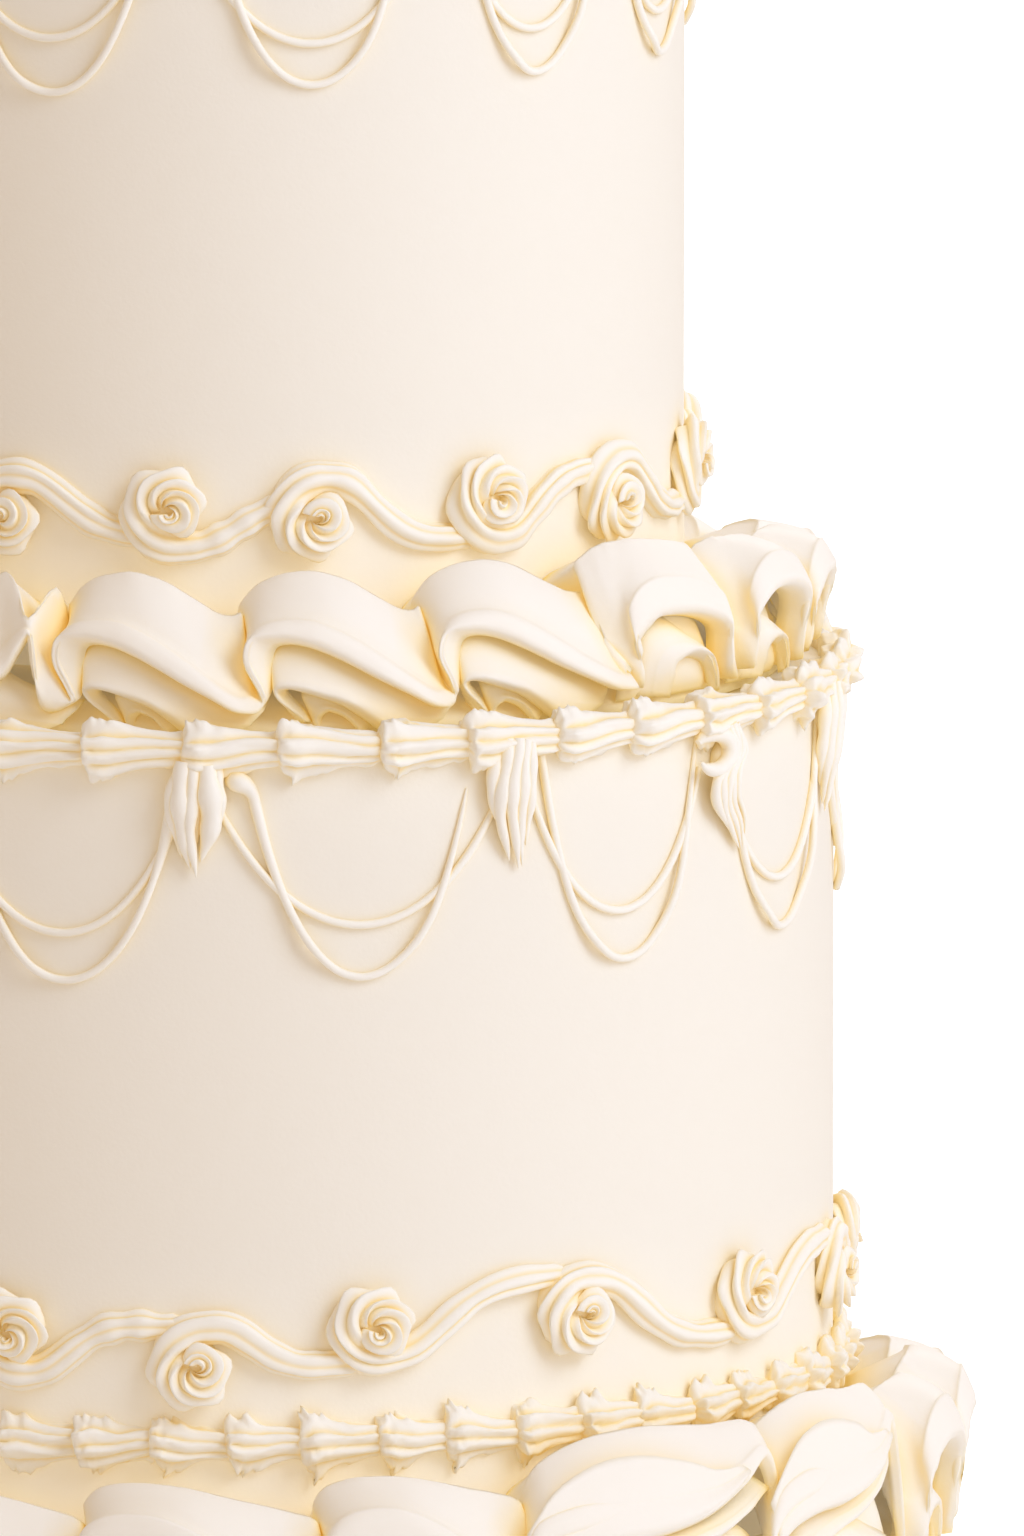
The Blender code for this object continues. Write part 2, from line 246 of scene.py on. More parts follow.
class Tree:
    """A node tree, built node by node."""

    def __init__(self, tree):
        self.tree = tree

    def feed(self, socket, value):
        if isinstance(value, bpy.types.NodeSocket):
            self.tree.links.new(value, socket)
        else:
            socket.default_value = value

    def node(self, kind, feeds, output=0, **settings):
        """The output of a new node."""
        made = self.tree.nodes.new(kind)
        for setting, value in settings.items():
            setattr(made, setting, value)
        for key, value in feeds.items():
            self.feed(made.inputs[key], value)
        return made.outputs[output]

    def math(self, operation, *values):
        return self.node("ShaderNodeMath", dict(enumerate(values)), operation=operation)

    def times(self, *values):
        return self.math("MULTIPLY", *values)

    def plus(self, *values):
        return self.math("ADD", *values)

    def mix(self, share, first, second):
        feeds = {"Factor": share, 6: first, 7: second}
        return self.node("ShaderNodeMix", feeds, output=2, data_type="RGBA", clamp_factor=True)

    def ramp(self, value, low, high, first=0.0, last=1.0):
        """First where the value is low or less, last where it is high or more."""
        feeds = {"Value": value, "From Min": low, "From Max": high, "To Min": first, "To Max": last}
        return self.node("ShaderNodeMapRange", feeds)

    def parts(self, vector):
        """The X, Y and Z of a vector."""
        return self.node("ShaderNodeSeparateXYZ", {0: vector}).node.outputs

    def on_ring(self, turn, radius, height):
        """The point at an azimuth in radians, a radius and a height."""
        y = self.times(self.times(radius, self.math("COSINE", turn)), -1.0)
        feeds = {"X": self.times(radius, self.math("SINE", turn)), "Y": y, "Z": height}
        return self.node("ShaderNodeCombineXYZ", feeds)

    def random(self, low, high, seed):
        made = self.node("FunctionNodeRandomValue", {}, data_type="FLOAT").node
        by_identifier = {socket.identifier: socket for socket in made.inputs}
        for key, value in {"Min_001": low, "Max_001": high, "Seed": seed}.items():
            self.feed(by_identifier[key], value)
        return made.outputs[1]

    def roughened(self, geometry, amount, size, middle=0.5):
        """The geometry with its surface moved in and out by a soft noise."""
        noise = self.node("ShaderNodeTexNoise", {"Scale": size, "Detail": 2.0})
        depth = self.times(self.math("SUBTRACT", noise, middle), amount)
        feeds = {0: self.node("GeometryNodeInputNormal", {}), "Scale": depth}
        outward = self.node("ShaderNodeVectorMath", feeds, operation="SCALE")
        return self.node("GeometryNodeSetPosition", {"Geometry": geometry, "Offset": outward})


class Group(Tree):
    """A node group with named inputs and results."""

    def __init__(self, name, sockets, results, kind="GeometryNodeTree"):
        super().__init__(bpy.data.node_groups.new(name, kind))
        for way, labels in (("INPUT", sockets), ("OUTPUT", results)):
            for label, socket in labels.items():
                self.tree.interface.new_socket(label, in_out=way, socket_type="NodeSocket" + socket)
        self.given = self.tree.nodes.new("NodeGroupInput").outputs
        self.results = self.tree.nodes.new("NodeGroupOutput").inputs

    def put_out(self, **values):
        for label, value in values.items():
            self.feed(self.results[label], value)

    def put_out_coated(self, geometry):
        """Puts the geometry out, real and in the given material."""
        real = self.node("GeometryNodeRealizeInstances", {"Geometry": geometry})
        smooth = self.node("GeometryNodeSetShadeSmooth", {"Geometry": real})
        feeds = {"Geometry": smooth, "Material": self.given["Material"]}
        self.put_out(Geometry=self.node("GeometryNodeSetMaterial", feeds))


def grow(name, group, source, **values):
    """The plain mesh piece that a group makes from a source piece, which is used up."""
    maker = source.modifiers.new("maker", "NODES")
    maker.node_group = group.tree
    sockets = {s.name: s.identifier for s in group.tree.interface.items_tree if s.in_out == "INPUT"}
    for label, value in values.items():
        maker[sockets[label.replace("_", " ")]] = value
    bpy.context.view_layer.update()
    evaluated = source.evaluated_get(bpy.context.evaluated_depsgraph_get())
    mesh = bpy.data.meshes.new_from_object(evaluated)
    bpy.data.objects.remove(source)
    mesh.name = name
    return add_object(name, mesh)


def turned_tree():
    """Turns a profile, a line of points at +X from top to bottom, round the Z axis."""
    sockets = {"Seed Mesh": "Geometry", "Profile": "Object", "Rows": "Int", "Sides": "Int", "Unevenness": "Float",
               "Swell Size": "Float", "Material": "Material"}
    tree = Group("turned coat", sockets, {"Geometry": "Geometry"})
    given = tree.given
    profile = tree.node("GeometryNodeObjectInfo", {"Object": given["Profile"]}, output="Geometry")
    feeds = {"Size X": 1.0, "Size Y": 1.0, "Vertices X": tree.plus(given["Sides"], 1), "Vertices Y": given["Rows"]}
    grid = tree.node("GeometryNodeMeshGrid", feeds)
    place = tree.parts(tree.node("GeometryNodeInputPosition", {}))
    turn = tree.times(tree.plus(place["X"], 0.5), 2 * math.pi)
    row = tree.math("ROUND", tree.times(tree.plus(place["Y"], 0.5), tree.math("SUBTRACT", given["Rows"], 1)))
    feeds = {"Geometry": profile, "Value": tree.node("GeometryNodeInputPosition", {}), "Index": row}
    spot = tree.parts(tree.node("GeometryNodeSampleIndex", feeds, data_type="FLOAT_VECTOR"))
    ring = tree.on_ring(turn, spot["X"], spot["Z"])
    turned = tree.node("GeometryNodeSetPosition", {"Geometry": grid, "Position": ring})
    closed = tree.node("GeometryNodeMergeByDistance", {"Geometry": turned, "Distance": 0.01 * MM})
    tree.put_out_coated(tree.roughened(closed, given["Unevenness"], given["Swell Size"], COAT_MIDDLE))
    return tree


def border_tree():
    """A border of like pieces round a tier, each picked, sized and turned a little differently."""
    sockets = {"Seed Mesh": "Geometry", "Pieces": "Collection", "Count": "Int", "First": "Float", "Radius": "Float",
               "Height": "Float", "Shift": "Float", "Size Change": "Float", "Tilt Change": "Float",
               "Seed": "Int", "Material": "Material"}
    tree = Group("piped border", sockets, {"Geometry": "Geometry"})
    given = tree.given

    def strayed(offset, most):
        """A random value up to most to either side."""
        return tree.times(tree.random(-1.0, 1.0, tree.plus(given["Seed"], offset)), most)

    order = tree.plus(tree.node("GeometryNodeInputIndex", {}), strayed(1, given["Shift"]))
    pitch = tree.math("DIVIDE", 360.0, given["Count"])
    azimuth = tree.math("RADIANS", tree.plus(given["First"], tree.times(order, pitch)))
    place = tree.on_ring(azimuth, given["Radius"], given["Height"])
    points = tree.node("GeometryNodePoints", {"Count": given["Count"], "Position": place})
    feeds = {"Collection": given["Pieces"], "Separate Children": True, "Reset Children": True}
    pieces = tree.node("GeometryNodeCollectionInfo", feeds)
    turn = tree.node("ShaderNodeCombineXYZ", {"X": 0.0, "Y": strayed(2, given["Tilt Change"]), "Z": azimuth})
    size = tree.plus(1.0, strayed(3, given["Size Change"]))
    pick = tree.math("FLOOR", tree.random(0.0, 64.0, tree.plus(given["Seed"], 4)))
    feeds = {"Points": points, "Instance": pieces, "Pick Instance": True, "Instance Index": pick,
             "Rotation": tree.node("FunctionNodeEulerToRotation", {"Euler": turn}),
             "Scale": tree.node("ShaderNodeCombineXYZ", {"X": 1.0, "Y": size, "Z": size})}
    tree.put_out_coated(tree.node("GeometryNodeInstanceOnPoints", feeds))
    return tree


def line_tree():
    """Pipes a round line of icing along each path of edges; the width attribute is its radius."""
    sockets = {"Paths": "Geometry", "Sides": "Int", "Roughness": "Float", "Grain Size": "Float",
               "Material": "Material"}
    tree = Group("piped line", sockets, {"Geometry": "Geometry"})
    path = tree.node("GeometryNodeMeshToCurve", {"Mesh": tree.given["Paths"]})
    round_tip = tree.node("GeometryNodeCurvePrimitiveCircle", {"Resolution": tree.given["Sides"], "Radius": 1.0})
    width = tree.node("GeometryNodeInputNamedAttribute", {"Name": "width"})
    feeds = {"Curve": path, "Profile Curve": round_tip, "Scale": width, "Fill Caps": True}
    line = tree.node("GeometryNodeCurveToMesh", feeds)
    tree.put_out_coated(tree.roughened(line, tree.given["Roughness"], tree.given["Grain Size"]))
    return tree


# Materials


def icing_group():
    """The surface of icing: its grain, soft clouds of tone, and warm painted shade and painted light in its creases.
    """
    sockets = {"Face": "Color", "Crease": "Color", "Glow": "Color", "Deep Glow": "Color", "Groove Tint": "Float",
               "Groove Glow": "Float", "Cavity Glow": "Float", "Crease Reach": "Float", "Crease Falloff": "Float",
               "Grain Size": "Float", "Cloud Amount": "Float"}
    results = {"Color": "Color", "Glow": "Color", "Roughness": "Float", "Height": "Float"}
    tree = Group("icing surface", sockets, results, kind="ShaderNodeTree")
    spot = tree.node("ShaderNodeTexCoord", {}, output="Object")
    given = tree.given
    grain = tree.node("ShaderNodeTexNoise", {"Vector": spot, "Scale": given["Grain Size"], "Detail": 4.0})
    clouds = tree.node("ShaderNodeTexNoise", {"Vector": spot, "Scale": 60.0, "Detail": 2.0})
    # Painted shade: the less open a place is within the crease reach, the more of the Crease colour it gets
    open_share = tree.node("ShaderNodeAmbientOcclusion", {"Distance": given["Crease Reach"]}, output="AO",
                           samples=3)
    groove = tree.node("ShaderNodeAttribute", {}, output="Fac", attribute_name="groove")
    closed = tree.math("SUBTRACT", 1.0, open_share)
    # Painted shade in the grooves too, where the groove mark is deep
    groove_shading = tree.times(tree.math("POWER", groove, 4.0), given["Groove Tint"])
    deep = tree.plus(groove_shading, tree.math("POWER", closed, given["Crease Falloff"]))
    drift = tree.math("MULTIPLY_ADD", clouds, given["Cloud Amount"], deep)
    color = tree.mix(drift, given["Face"], given["Crease"])
    # Painted light: a glow in half-closed cavities and along the groove mark, and the Deep Glow colour where a place
    # is nearly shut
    inner = tree.ramp(closed, 0.3, 0.9)
    shut = tree.ramp(closed, 0.72, 1.0, 1.0, 0.35)
    filled = tree.times(inner, tree.times(shut, given["Cavity Glow"]))
    lit = tree.math("MULTIPLY_ADD", groove, given["Groove Glow"], filled)
    soft = tree.mix(lit, (0.0, 0.0, 0.0, 1.0), given["Glow"])
    glow = tree.mix(tree.ramp(closed, 0.66, 1.0), soft, given["Deep Glow"])
    tree.put_out(Color=color, Glow=glow, Roughness=tree.ramp(grain, 0.0, 1.0, 0.46, 0.66), Height=grain)
    return tree.tree


def icing_material(name, grain_depth, **values):
    material = bpy.data.materials.new(name)
    material.use_nodes = True
    tree = Tree(material.node_tree)
    feeds = {label.replace("_", " "): value for label, value in values.items()}
    surface = tree.node("ShaderNodeGroup", feeds, node_tree=ICING).node.outputs
    bump = tree.node("ShaderNodeBump", {"Distance": grain_depth, "Height": surface["Height"]})
    # The painted light leaves the surface as emission
    feeds = {"Base Color": surface["Color"], "Emission Color": surface["Glow"], "Roughness": surface["Roughness"],
             "Normal": bump, "Emission Strength": 1.0, "Specular IOR Level": 0.3}
    for label, value in feeds.items():
        tree.feed(material.node_tree.nodes["Principled BSDF"].inputs[label], value)
    return material


# The tiers

COAT_SIDES = 200
COAT_UNEVENNESS, COAT_SWELL_SIZE = 0.30 * MM, 14.0
# The value of the noise at which a coat keeps its place, so that little of it swells out
COAT_MIDDLE = 0.62


def turn_round(name, profile, sides, unevenness, swell_size, material):
    """The coat that a line of points, each out and up, makes when it is turned round the cake."""
    points = [(out, 0.0, up) for out, up in profile]
    line = line_piece(name + "_profile", points, [(i, i + 1) for i in range(len(points) - 1)])
    coat = grow(name, TURNED, line_piece(name + "_seed", [(0, 0, 0)], []), Profile=line, Rows=len(points),
                Sides=sides, Unevenness=unevenness, Swell_Size=swell_size, Material=material)
    bpy.data.objects.remove(line)
    return coat


def make_coat(name, tier, material):
    """A turned coat of icing with a rounded top edge, over a flat base."""
    radius, bottom, top = tier.radius, tier.foot, tier.top
    corner = [(radius - EDGE_ROUNDING * (1 - math.sin(a)), top - EDGE_ROUNDING * (1 - math.cos(a)))
              for a in np.linspace(0, math.pi / 2, 7)]
    inner = [(r, top) for r in np.linspace(0, radius - EDGE_ROUNDING - 1 * MM, 14)]
    side = [(radius, z) for z in np.linspace(top - EDGE_ROUNDING - 2 * MM, bottom + 0.4 * MM, 44)]
    foot = [(r, bottom) for r in np.linspace(radius - 0.4 * MM, 0, 8)]
    coat = turn_round(name, inner + corner + side + foot, COAT_SIDES, COAT_UNEVENNESS, COAT_SWELL_SIZE, material)
    turn_outwards(coat)
    spots = np.zeros(len(coat.data.vertices) * 3, np.float32)
    coat.data.vertices.foreach_get("co", spots)
    spots[2::3] = np.maximum(spots[2::3], bottom)
    coat.data.vertices.foreach_set("co", spots)
    # Painted light: the groove mark on a coat holds the light the borders throw back, which the covering paints on
    up, amount = zip(*tier.thrown_light)
    mark(coat.data, "groove", np.interp(spots[2::3] - bottom, np.array(up) * MM, amount))
    return coat


# Shells

SHELL_KINDS = 7
SHELL_RIDGES, SHELL_LEAN = 7.6, 0.16
# Torn places in groups: for each a factor on its angle, then ranges of the share along the shell,
# of the angle from straight out, of the height in mm and of the breadth
TEARS = (([1] * 5, (.03, .42), (1.1, 1.75), (.25, .85), (.035, .075)),
         ([1] * 5, (.05, .45), (-1.8, -1.2), (.25, .85), (.035, .08)),
         ([1] * 2, (.02, .10), (-1.0, 1.0), (.15, .5), (.03, .05)),
         ([-1, 1], (.55, .95), (1.3, 1.7), (.2, .6), (.03, .07)))
FLAPS = (([1], (.06, .16), (1.30, 1.5), (.5, 1.1), (.06, .10)),
         ([1], (.20, .40), (1.30, 1.5), (.3, .9), (.04, .09)),
         ([1], (.10, .26), (-1.5, -1.35), (.6, 1.2), (.10, .16)),
         ([1], (.35, .60), (-1.5, -1.35), (.3, .9), (.08, .16)))


def torn_places(groups):
    """The share along, the angle, the height and the breadth of each torn place."""
    return [np.array(drawn(*ranges)) * [1, side, 1, 1] for sides, *ranges in groups for side in sides]


def star_section(angles, ridges, depth, lean):
    """How far out a star tip's icing stands at each angle, and how deep in a groove that is.

    The lean tilts every ridge to one side, like overlapping petals.
    """
    turn = (np.asarray(angles) * ridges / (2 * math.pi)) % 1.0
    middle = 0.5 + lean
    wave = np.where(turn < middle, (middle - turn) / middle, (turn - middle) / (1 - middle))
    groove = wave ** 1.25
    return 1 - depth * groove, groove


def make_shell(name, length, size, ragged, material):
    """One shell: a curled lip and torn peaks at its head on the left, ridges along it and a blunt tail."""
    shares = np.array([0, .008, .02, .035, .05, .065, .08, .1, .12, .145, .17, .2, .235, .27, .31, .35, .4, .45,
                       .5, .56, .62, .68, .74, .8, .86, .91, .95, .98, 1.0])
    full = hand.uniform(0.0, 1.0)
    girth = np.interp(shares, [0, .015, .04, .08, .13, .20, .30, .42, .6, .8, .94, 1.0],
                      [.45, .80, .98, 1.10, 1.15, 1.14 + .03 * full, 1.04 + .06 * full, .94 + .05 * full, .83, .74,
                       .69, .45])
    angles = np.radians(np.linspace(-125, 125, 54))
    slow, quick = hand.uniform(-0.15, 0.15), hand.uniform(-0.07, 0.07, 2)
    phase = hand.uniform(0, 2 * math.pi)
    swing = hand.uniform(-0.7, 0.5)
    warp = slow * np.sin(2 * angles + phase) + quick[0] * np.sin(3 * angles) + quick[1] * np.sin(4 * angles - phase)
    tears, flaps = torn_places(TEARS), torn_places(FLAPS)
    lip_strength, lip_swing = drawn((0.2, 0.9), (-0.03, 0.04))
    rows, grooves = [], []
    for share, wide in zip(shares, girth):
        bend = swing * share + phase + warp + 0.06 * math.sin(9 * share + phase)
        head = math.exp(-((share - 0.08) / 0.10) ** 2)
        out, groove = star_section(angles + bend, SHELL_RIDGES, 0.24 + 0.08 * head, SHELL_LEAN)
        lip = lip_strength * np.exp(-((share - 0.045 - lip_swing * np.sin(1.3 * angles + phase)) / 0.024) ** 2)
        reach = size * (wide + 0.05 * lip) * (out * (1 - 0.6 * lip) + 0.6 * lip * (1 - 0.05 * groove))
        shift = np.where(angles < 0, 0.45, 0.12) * (1 - np.cos(angles))
        x = (share - 0.5) * length + shift * size * head - 0.2 * size * lip
        for at, toward, tall, broad in tears:
            near = np.exp(-((share - at) / broad) ** 2 - ((angles - toward) / 0.20) ** 2)
            reach = reach + ragged * tall * near * MM
            x = x - 0.5 * ragged * tall * near * MM
        torn = 1 + 0.35 * math.sin(75 * share + 9 * phase) + 0.15 * math.sin(131 * share)
        for at, toward, tall, broad in flaps:
            near = torn * np.exp(-((share - at) / broad) ** 4 - ((angles - toward) / 0.13) ** 2)
            reach = reach + 0.8 * ragged * tall * near * MM
            x = x - 0.3 * ragged * tall * near * MM
        proud = reach * np.cos(angles) * (1 + 0.10 * head)
        rows.append(np.stack([x, -proud, reach * np.sin(angles)], -1))
        # The groove mark for painted shade fades out on the lip
        grooves.append(groove * (1 - lip))
    rows = np.array(rows)
    wave = sheet_through(hand.normal(0, 1, (6, 12, 3)), 6, 6)[:len(rows), :len(angles)]
    fray = sheet_through(hand.normal(0, 1, (11, 19, 3)), 3, 3)[:len(rows), :len(angles)]
    return rough_piece(name, rows + (wave * 0.10 + fray * 0.05) * MM * ragged, grooves, 0.03 * MM, material)


def make_border(name, shell_shape, material, **places):
    """A border of shells, picked at random from several kinds."""
    pieces = bpy.data.collections.new(name + "_kinds")
    for i in range(SHELL_KINDS):
        shell = make_shell(f"{name}_kind_{i}", *shell_shape, material)
        bpy.context.scene.collection.objects.unlink(shell)
        pieces.objects.link(shell)
    seed = line_piece(name + "_seed", [(0, 0, 0)], [])
    border = grow(name, BORDER, seed, Pieces=pieces, Material=material, **places)
    for shell in list(pieces.objects):
        bpy.data.objects.remove(shell)
    bpy.data.collections.remove(pieces)
    turn_outwards(border)
    return border


# Scrolls

CURL_RIDGES, CURL_LEAN = 6, 0.26
# How far out from the wall, in mm, the dome under a curl stands at each radius
CURL_DOME = ((4.2, -0.5), (3.6, 1.2), (2.6, 2.2), (1.4, 2.8), (0.2, 3.0))


def scroll_path(gap, swing):
    """The middle line of a scroll in mm, x to the right and z up, from its curl to its tail.

    Gives the points, the rope's half width, how far its middle stands off the wall and the share
    of the way, which is 0.5 where the curl ends.
    """
    start = math.radians(hand.uniform(105, 150))
    turn = 1.5 * math.pi + start
    t = np.linspace(0, 1, 48)
    angle = start - turn * t
    reach = np.interp(t, [0, .12, .25, .4, .6, .8, 1.0], [0.3, 1.2, 2.3, 3.2, 3.9, 4.1, swing + 0.6])
    curl = np.stack([reach * np.cos(angle), reach * np.sin(angle) - 0.6], -1)
    u = np.linspace(0, 1, 31)[1:]
    wide = smooth_step(gap, 21, 29)
    fall = wide * np.interp(u, [0, .1, .19, .32, .45, .6, .79, 1.0], [0, .05, .15, .42, .64, .83, .98, 1.02])
    fall += (1 - wide) * np.interp(u, [0, .1, .2, .3, .42, .63, .81, 1.0], [0, .03, .09, .19, .33, .59, .78, .95])
    x = u * (gap - 1.5)
    end = 1.2 + 4.0 * wide
    height = 0.5 * (swing - end) + 0.5 * (swing + end) * np.cos(math.pi * fall)
    tail = np.stack([x, height], -1)
    line = np.concatenate([curl, tail])
    along = np.concatenate([t * 0.5, 0.5 + u * 0.5])
    for _ in range(4):
        line[1:-1] = (line[:-2] + 2 * line[1:-1] + line[2:]) / 4
    half = np.interp(along, [0, .02, .06, .12, .2, .3, .4, .5, .62, .85, .97, 1.0],
                     [.8, 1.4, 2.0, 2.6, 3.1, 3.35, 3.3, 2.95, 2.6, 2.4, 2.1, 1.2])
    off = np.interp(along, [0, .06, .12, .2, .3, .42, .52, .8, 1.0], [4.1, 3.9, 3.2, 2.7, 2.3, 1.6, 1.1, .7, .2])
    return line, half, off, along


def make_scroll(tier, azimuth, gap, side, rise, next_rise, swing):
    """Rows of points and grooves of one scroll, side 1 with its curl hanging and -1 standing."""
    line, half, off, along = scroll_path(gap, swing)
    lift = rise + (next_rise - rise) * smooth_step(np.linspace(0, 2, len(line)), 1, 2)
    steps = np.linalg.norm(np.diff(line, axis=0), axis=1)
    length = np.concatenate([[0], np.cumsum(steps)])
    ahead = unit(np.gradient(line, axis=0))
    aside = np.stack([-ahead[:, 1], ahead[:, 0]], -1)
    from_curl = np.linalg.norm(line + np.array([0, 0.6]), axis=1)
    spots = np.radians(np.linspace(-180, 180, 57)[:-1])
    phase = hand.uniform(0, 2 * math.pi)
    warp = 0.10 * np.sin(2 * spots + phase) + 0.07 * np.sin(3 * spots - phase)
    pace = np.interp(along, [0, .15, .30, .42, .50], [.50, .40, .32, .22, 0.0])
    twist = np.concatenate([[0], np.cumsum(pace[1:] * steps)])
    swell = ripple(np.radians(along * 360), np.arange(3, 12)) * 0.05
    order = np.arange(len(line), dtype=float)
    rows, grooves = [], []
    for i in range(len(line)):
        in_curl = 1 - smooth_step(along[i], 0.30, 0.58)
        lean = CURL_LEAN * in_curl
        out, groove = star_section(spots, CURL_RIDGES, 0.22 + 0.26 * in_curl, lean)
        angles = spots - twist[i] - phase - warp
        wide = half[i] * (1 + swell[i])
        # The curl's outer rim swells and sinks with its ridges, in petals
        petal = math.cos(CURL_RIDGES * (math.pi / 2 + twist[i] + phase) - 2 * math.pi * (0.5 + lean))
        rim = np.maximum(np.sin(angles), 0)
        across = wide * out * np.sin(angles) * (1 + 0.14 * in_curl * petal * rim ** 3)
        room = max(from_curl[i] - 0.3, 0.4) if along[i] < 0.5 else 9.0
        across = np.maximum(across, -room)
        later = np.clip(length[i] - 1.3 * in_curl * rim, 0, length[-1])
        at = np.interp(later, length, order)
        low = np.clip(at.astype(int), 0, len(line) - 2)
        part = (at - low)[:, None]
        middle = line[low] * (1 - part) + line[low + 1] * part
        sideways = unit(aside[low] * (1 - part) + aside[low + 1] * part)
        flat = middle + sideways * across[:, None]
        proud = off[i] + 0.86 * wide * out * np.cos(angles)
        up = side * flat[:, 1] + lift[i]
        rows.append(on_wall(azimuth, tier.radius, tier.scroll_height, flat[:, 0], np.maximum(proud, -0.6), up))
        grooves.append(groove)
    return rows, grooves


def make_scrolls(name, tier, material):
    """A border of scrolls: each rope starts in a curl and ends under the next one."""
    count = tier.curl_count
    rises = list(tier.curl_rises) + [hand.uniform(-0.5, 0.5) for _ in range(count - len(tier.curl_rises))]
    side = tier.first_side
    pieces = []
    for number, (here, there) in enumerate(gaps_between(spread_round(tier.curls, count))):
        gap = math.radians(there - here) * tier.radius / MM
        rise, next_rise = rises[number], rises[(number + 1) % count]
        swing = tier.swing * hand.uniform(0.98, 1.14)
        rows, grooves = make_scroll(tier, here, gap, side, rise, next_rise, swing)
        pieces.append(rough_piece(name, rows, grooves, 0.02 * MM, material))
        spots = np.radians(np.linspace(0, 360, 17)[:-1])
        dome = [on_wall(here, tier.radius, tier.scroll_height, r * np.cos(spots), out,
                        r * np.sin(spots) - 0.6 * side + rise) for r, out in CURL_DOME]
        pieces.append(mesh_piece(name, *skin(dome), material))
        side = -side
    scrolls = join(name, pieces)
    turn_outwards(scrolls)
    return scrolls


# Strings and tassels

STRING_SIDES, FINGER_SIDES = 10, 12
# How far the deep and the shallow string hang below the tier's top, in mm
DEEP_DROP, SHALLOW_DROP = 35.4, 28.2


def steepness(half_width, fall):
    """How steep a chain is that hangs by fall over twice half_width."""
    low, high = 0.01, 12.0
    for _ in range(40):
        middle = (low + high) / 2
        if (math.cosh(middle) - 1) / middle < fall / half_width:
            low = middle
        else:
            high = middle
    return middle


def hang(left, right, start, drop, radius, steps):
    """Azimuths and falls, in metres below the tier's top, of a string between two azimuths."""
    fall = drop - start
    steep = steepness(math.radians(right - left) / 2 * radius, fall)
    share = np.linspace(-1, 1, steps)
    down = start + fall * (1 - (np.cosh(steep * share) - 1) / (math.cosh(steep) - 1))
    return left + (share + 1) / 2 * (right - left), down


def make_swag(tier, here, there, knob, blunt):
    """Paths and widths of the deep and the shallow string between two tassels.

    The deep one starts in a knob beside the tassel, or else under it, and its end is blunt or not.
    """
    radius, top = tier.radius, tier.top
    drop = (DEEP_DROP + hand.uniform(-0.8, 0.8)) * MM
    if knob:
        turns, down = hang(here + 5.25, there - (3.6 if blunt else 4.4), 7.4 * MM, drop, radius, 46)
        turns = np.concatenate([here + np.array([3.1, 3.5, 4.0, 4.5, 4.95]), turns])
        down = np.concatenate([np.array([5.0, 4.8, 5.0, 5.5, 6.3]) * MM, down])
    else:
        turns, down = hang(here + 3.0, there - 1.2, 3.0 * MM, drop, radius, 51)
    turns = turns + 0.10 * np.sin(np.linspace(0, 9, len(turns)) + hand.uniform(0, 6))
    width = np.interp(np.arange(len(turns)), [0, 1, 2, 3, 4, 5, 7, 10, 14, 44, 49, 50],
                      [0.9, 1.6, 1.7, 1.5, 1.2, 1.0, .84, .74, .68, .64, .4, .2]) * MM
    if not knob:
        width[:14] = 0.68 * MM
    if blunt:
        width[-6:] = np.array([.72, .85, 1.1, 1.3, 1.3, .95]) * MM
    share = np.linspace(0, 1, len(turns))
    over = np.exp(-((share - 0.33) / 0.09) ** 2) + np.exp(-((share - 0.82) / 0.09) ** 2)
    deep = on_ring(turns, radius + width * 0.8 + over * 0.95 * MM, top - down), width
    drop = (SHALLOW_DROP + hand.uniform(-0.8, 0.8)) * MM
    turns, down = hang(here + 1.8, there - 0.9, 8.0 * MM, drop, radius, 44)
    width = np.interp(np.linspace(0, 1, 44), [0, .1, .9, 1.0], [.55, .66, .66, .45]) * MM
    shallow = on_ring(turns, radius + width * 0.8, top - down), width
    return [deep, shallow]


# A tassel's fingers in mm: across from top to tip, down at the top and tip, half width
PARTED = (((-2.2, -3.3, -1.9), 1.8, 16.8, 1.0), ((-1.4, -1.9, -.2), 1.6, 18.5, 1.35), ((-.3, -.6, .1), 1.6, 19.8, 1.2),
          ((1.9, 2.3, 1.2), 2.2, 17.4, 1.7), ((3.0, 3.6, 1.6), 2.6, 15.5, 1.1))
FULL = (((-2.9, -3.9, -1.4), .4, 16.0, 1.0), ((-1.6, -2.6, -.5), -.3, 19.0, 1.05), ((-.2, -1.0, .9), -.3, 20.3, 1.1),
        ((1.1, .5, 1.9), .0, 20.0, 1.05), ((2.5, 2.2, 2.3), .5, 16.8, 1.1))
HOOKED = (((1.8, 2.8, -.5, .2, 3.6, 7.8), 2.6, 20.6, .85), ((2.5, 3.6, .8, 1.5, 4.8, 8.4), 1.6, 21.6, .8),
          ((3.2, 4.4, 2.1, 2.8, 6.0, 9.0), 1.4, 21.9, .85), ((3.9, 5.2, 3.4, 4.1, 7.1, 9.5), 1.6, 21.2, .8),
          ((4.6, 6.0, 4.7, 5.4, 8.2, 10.0), 2.2, 19.6, .75))


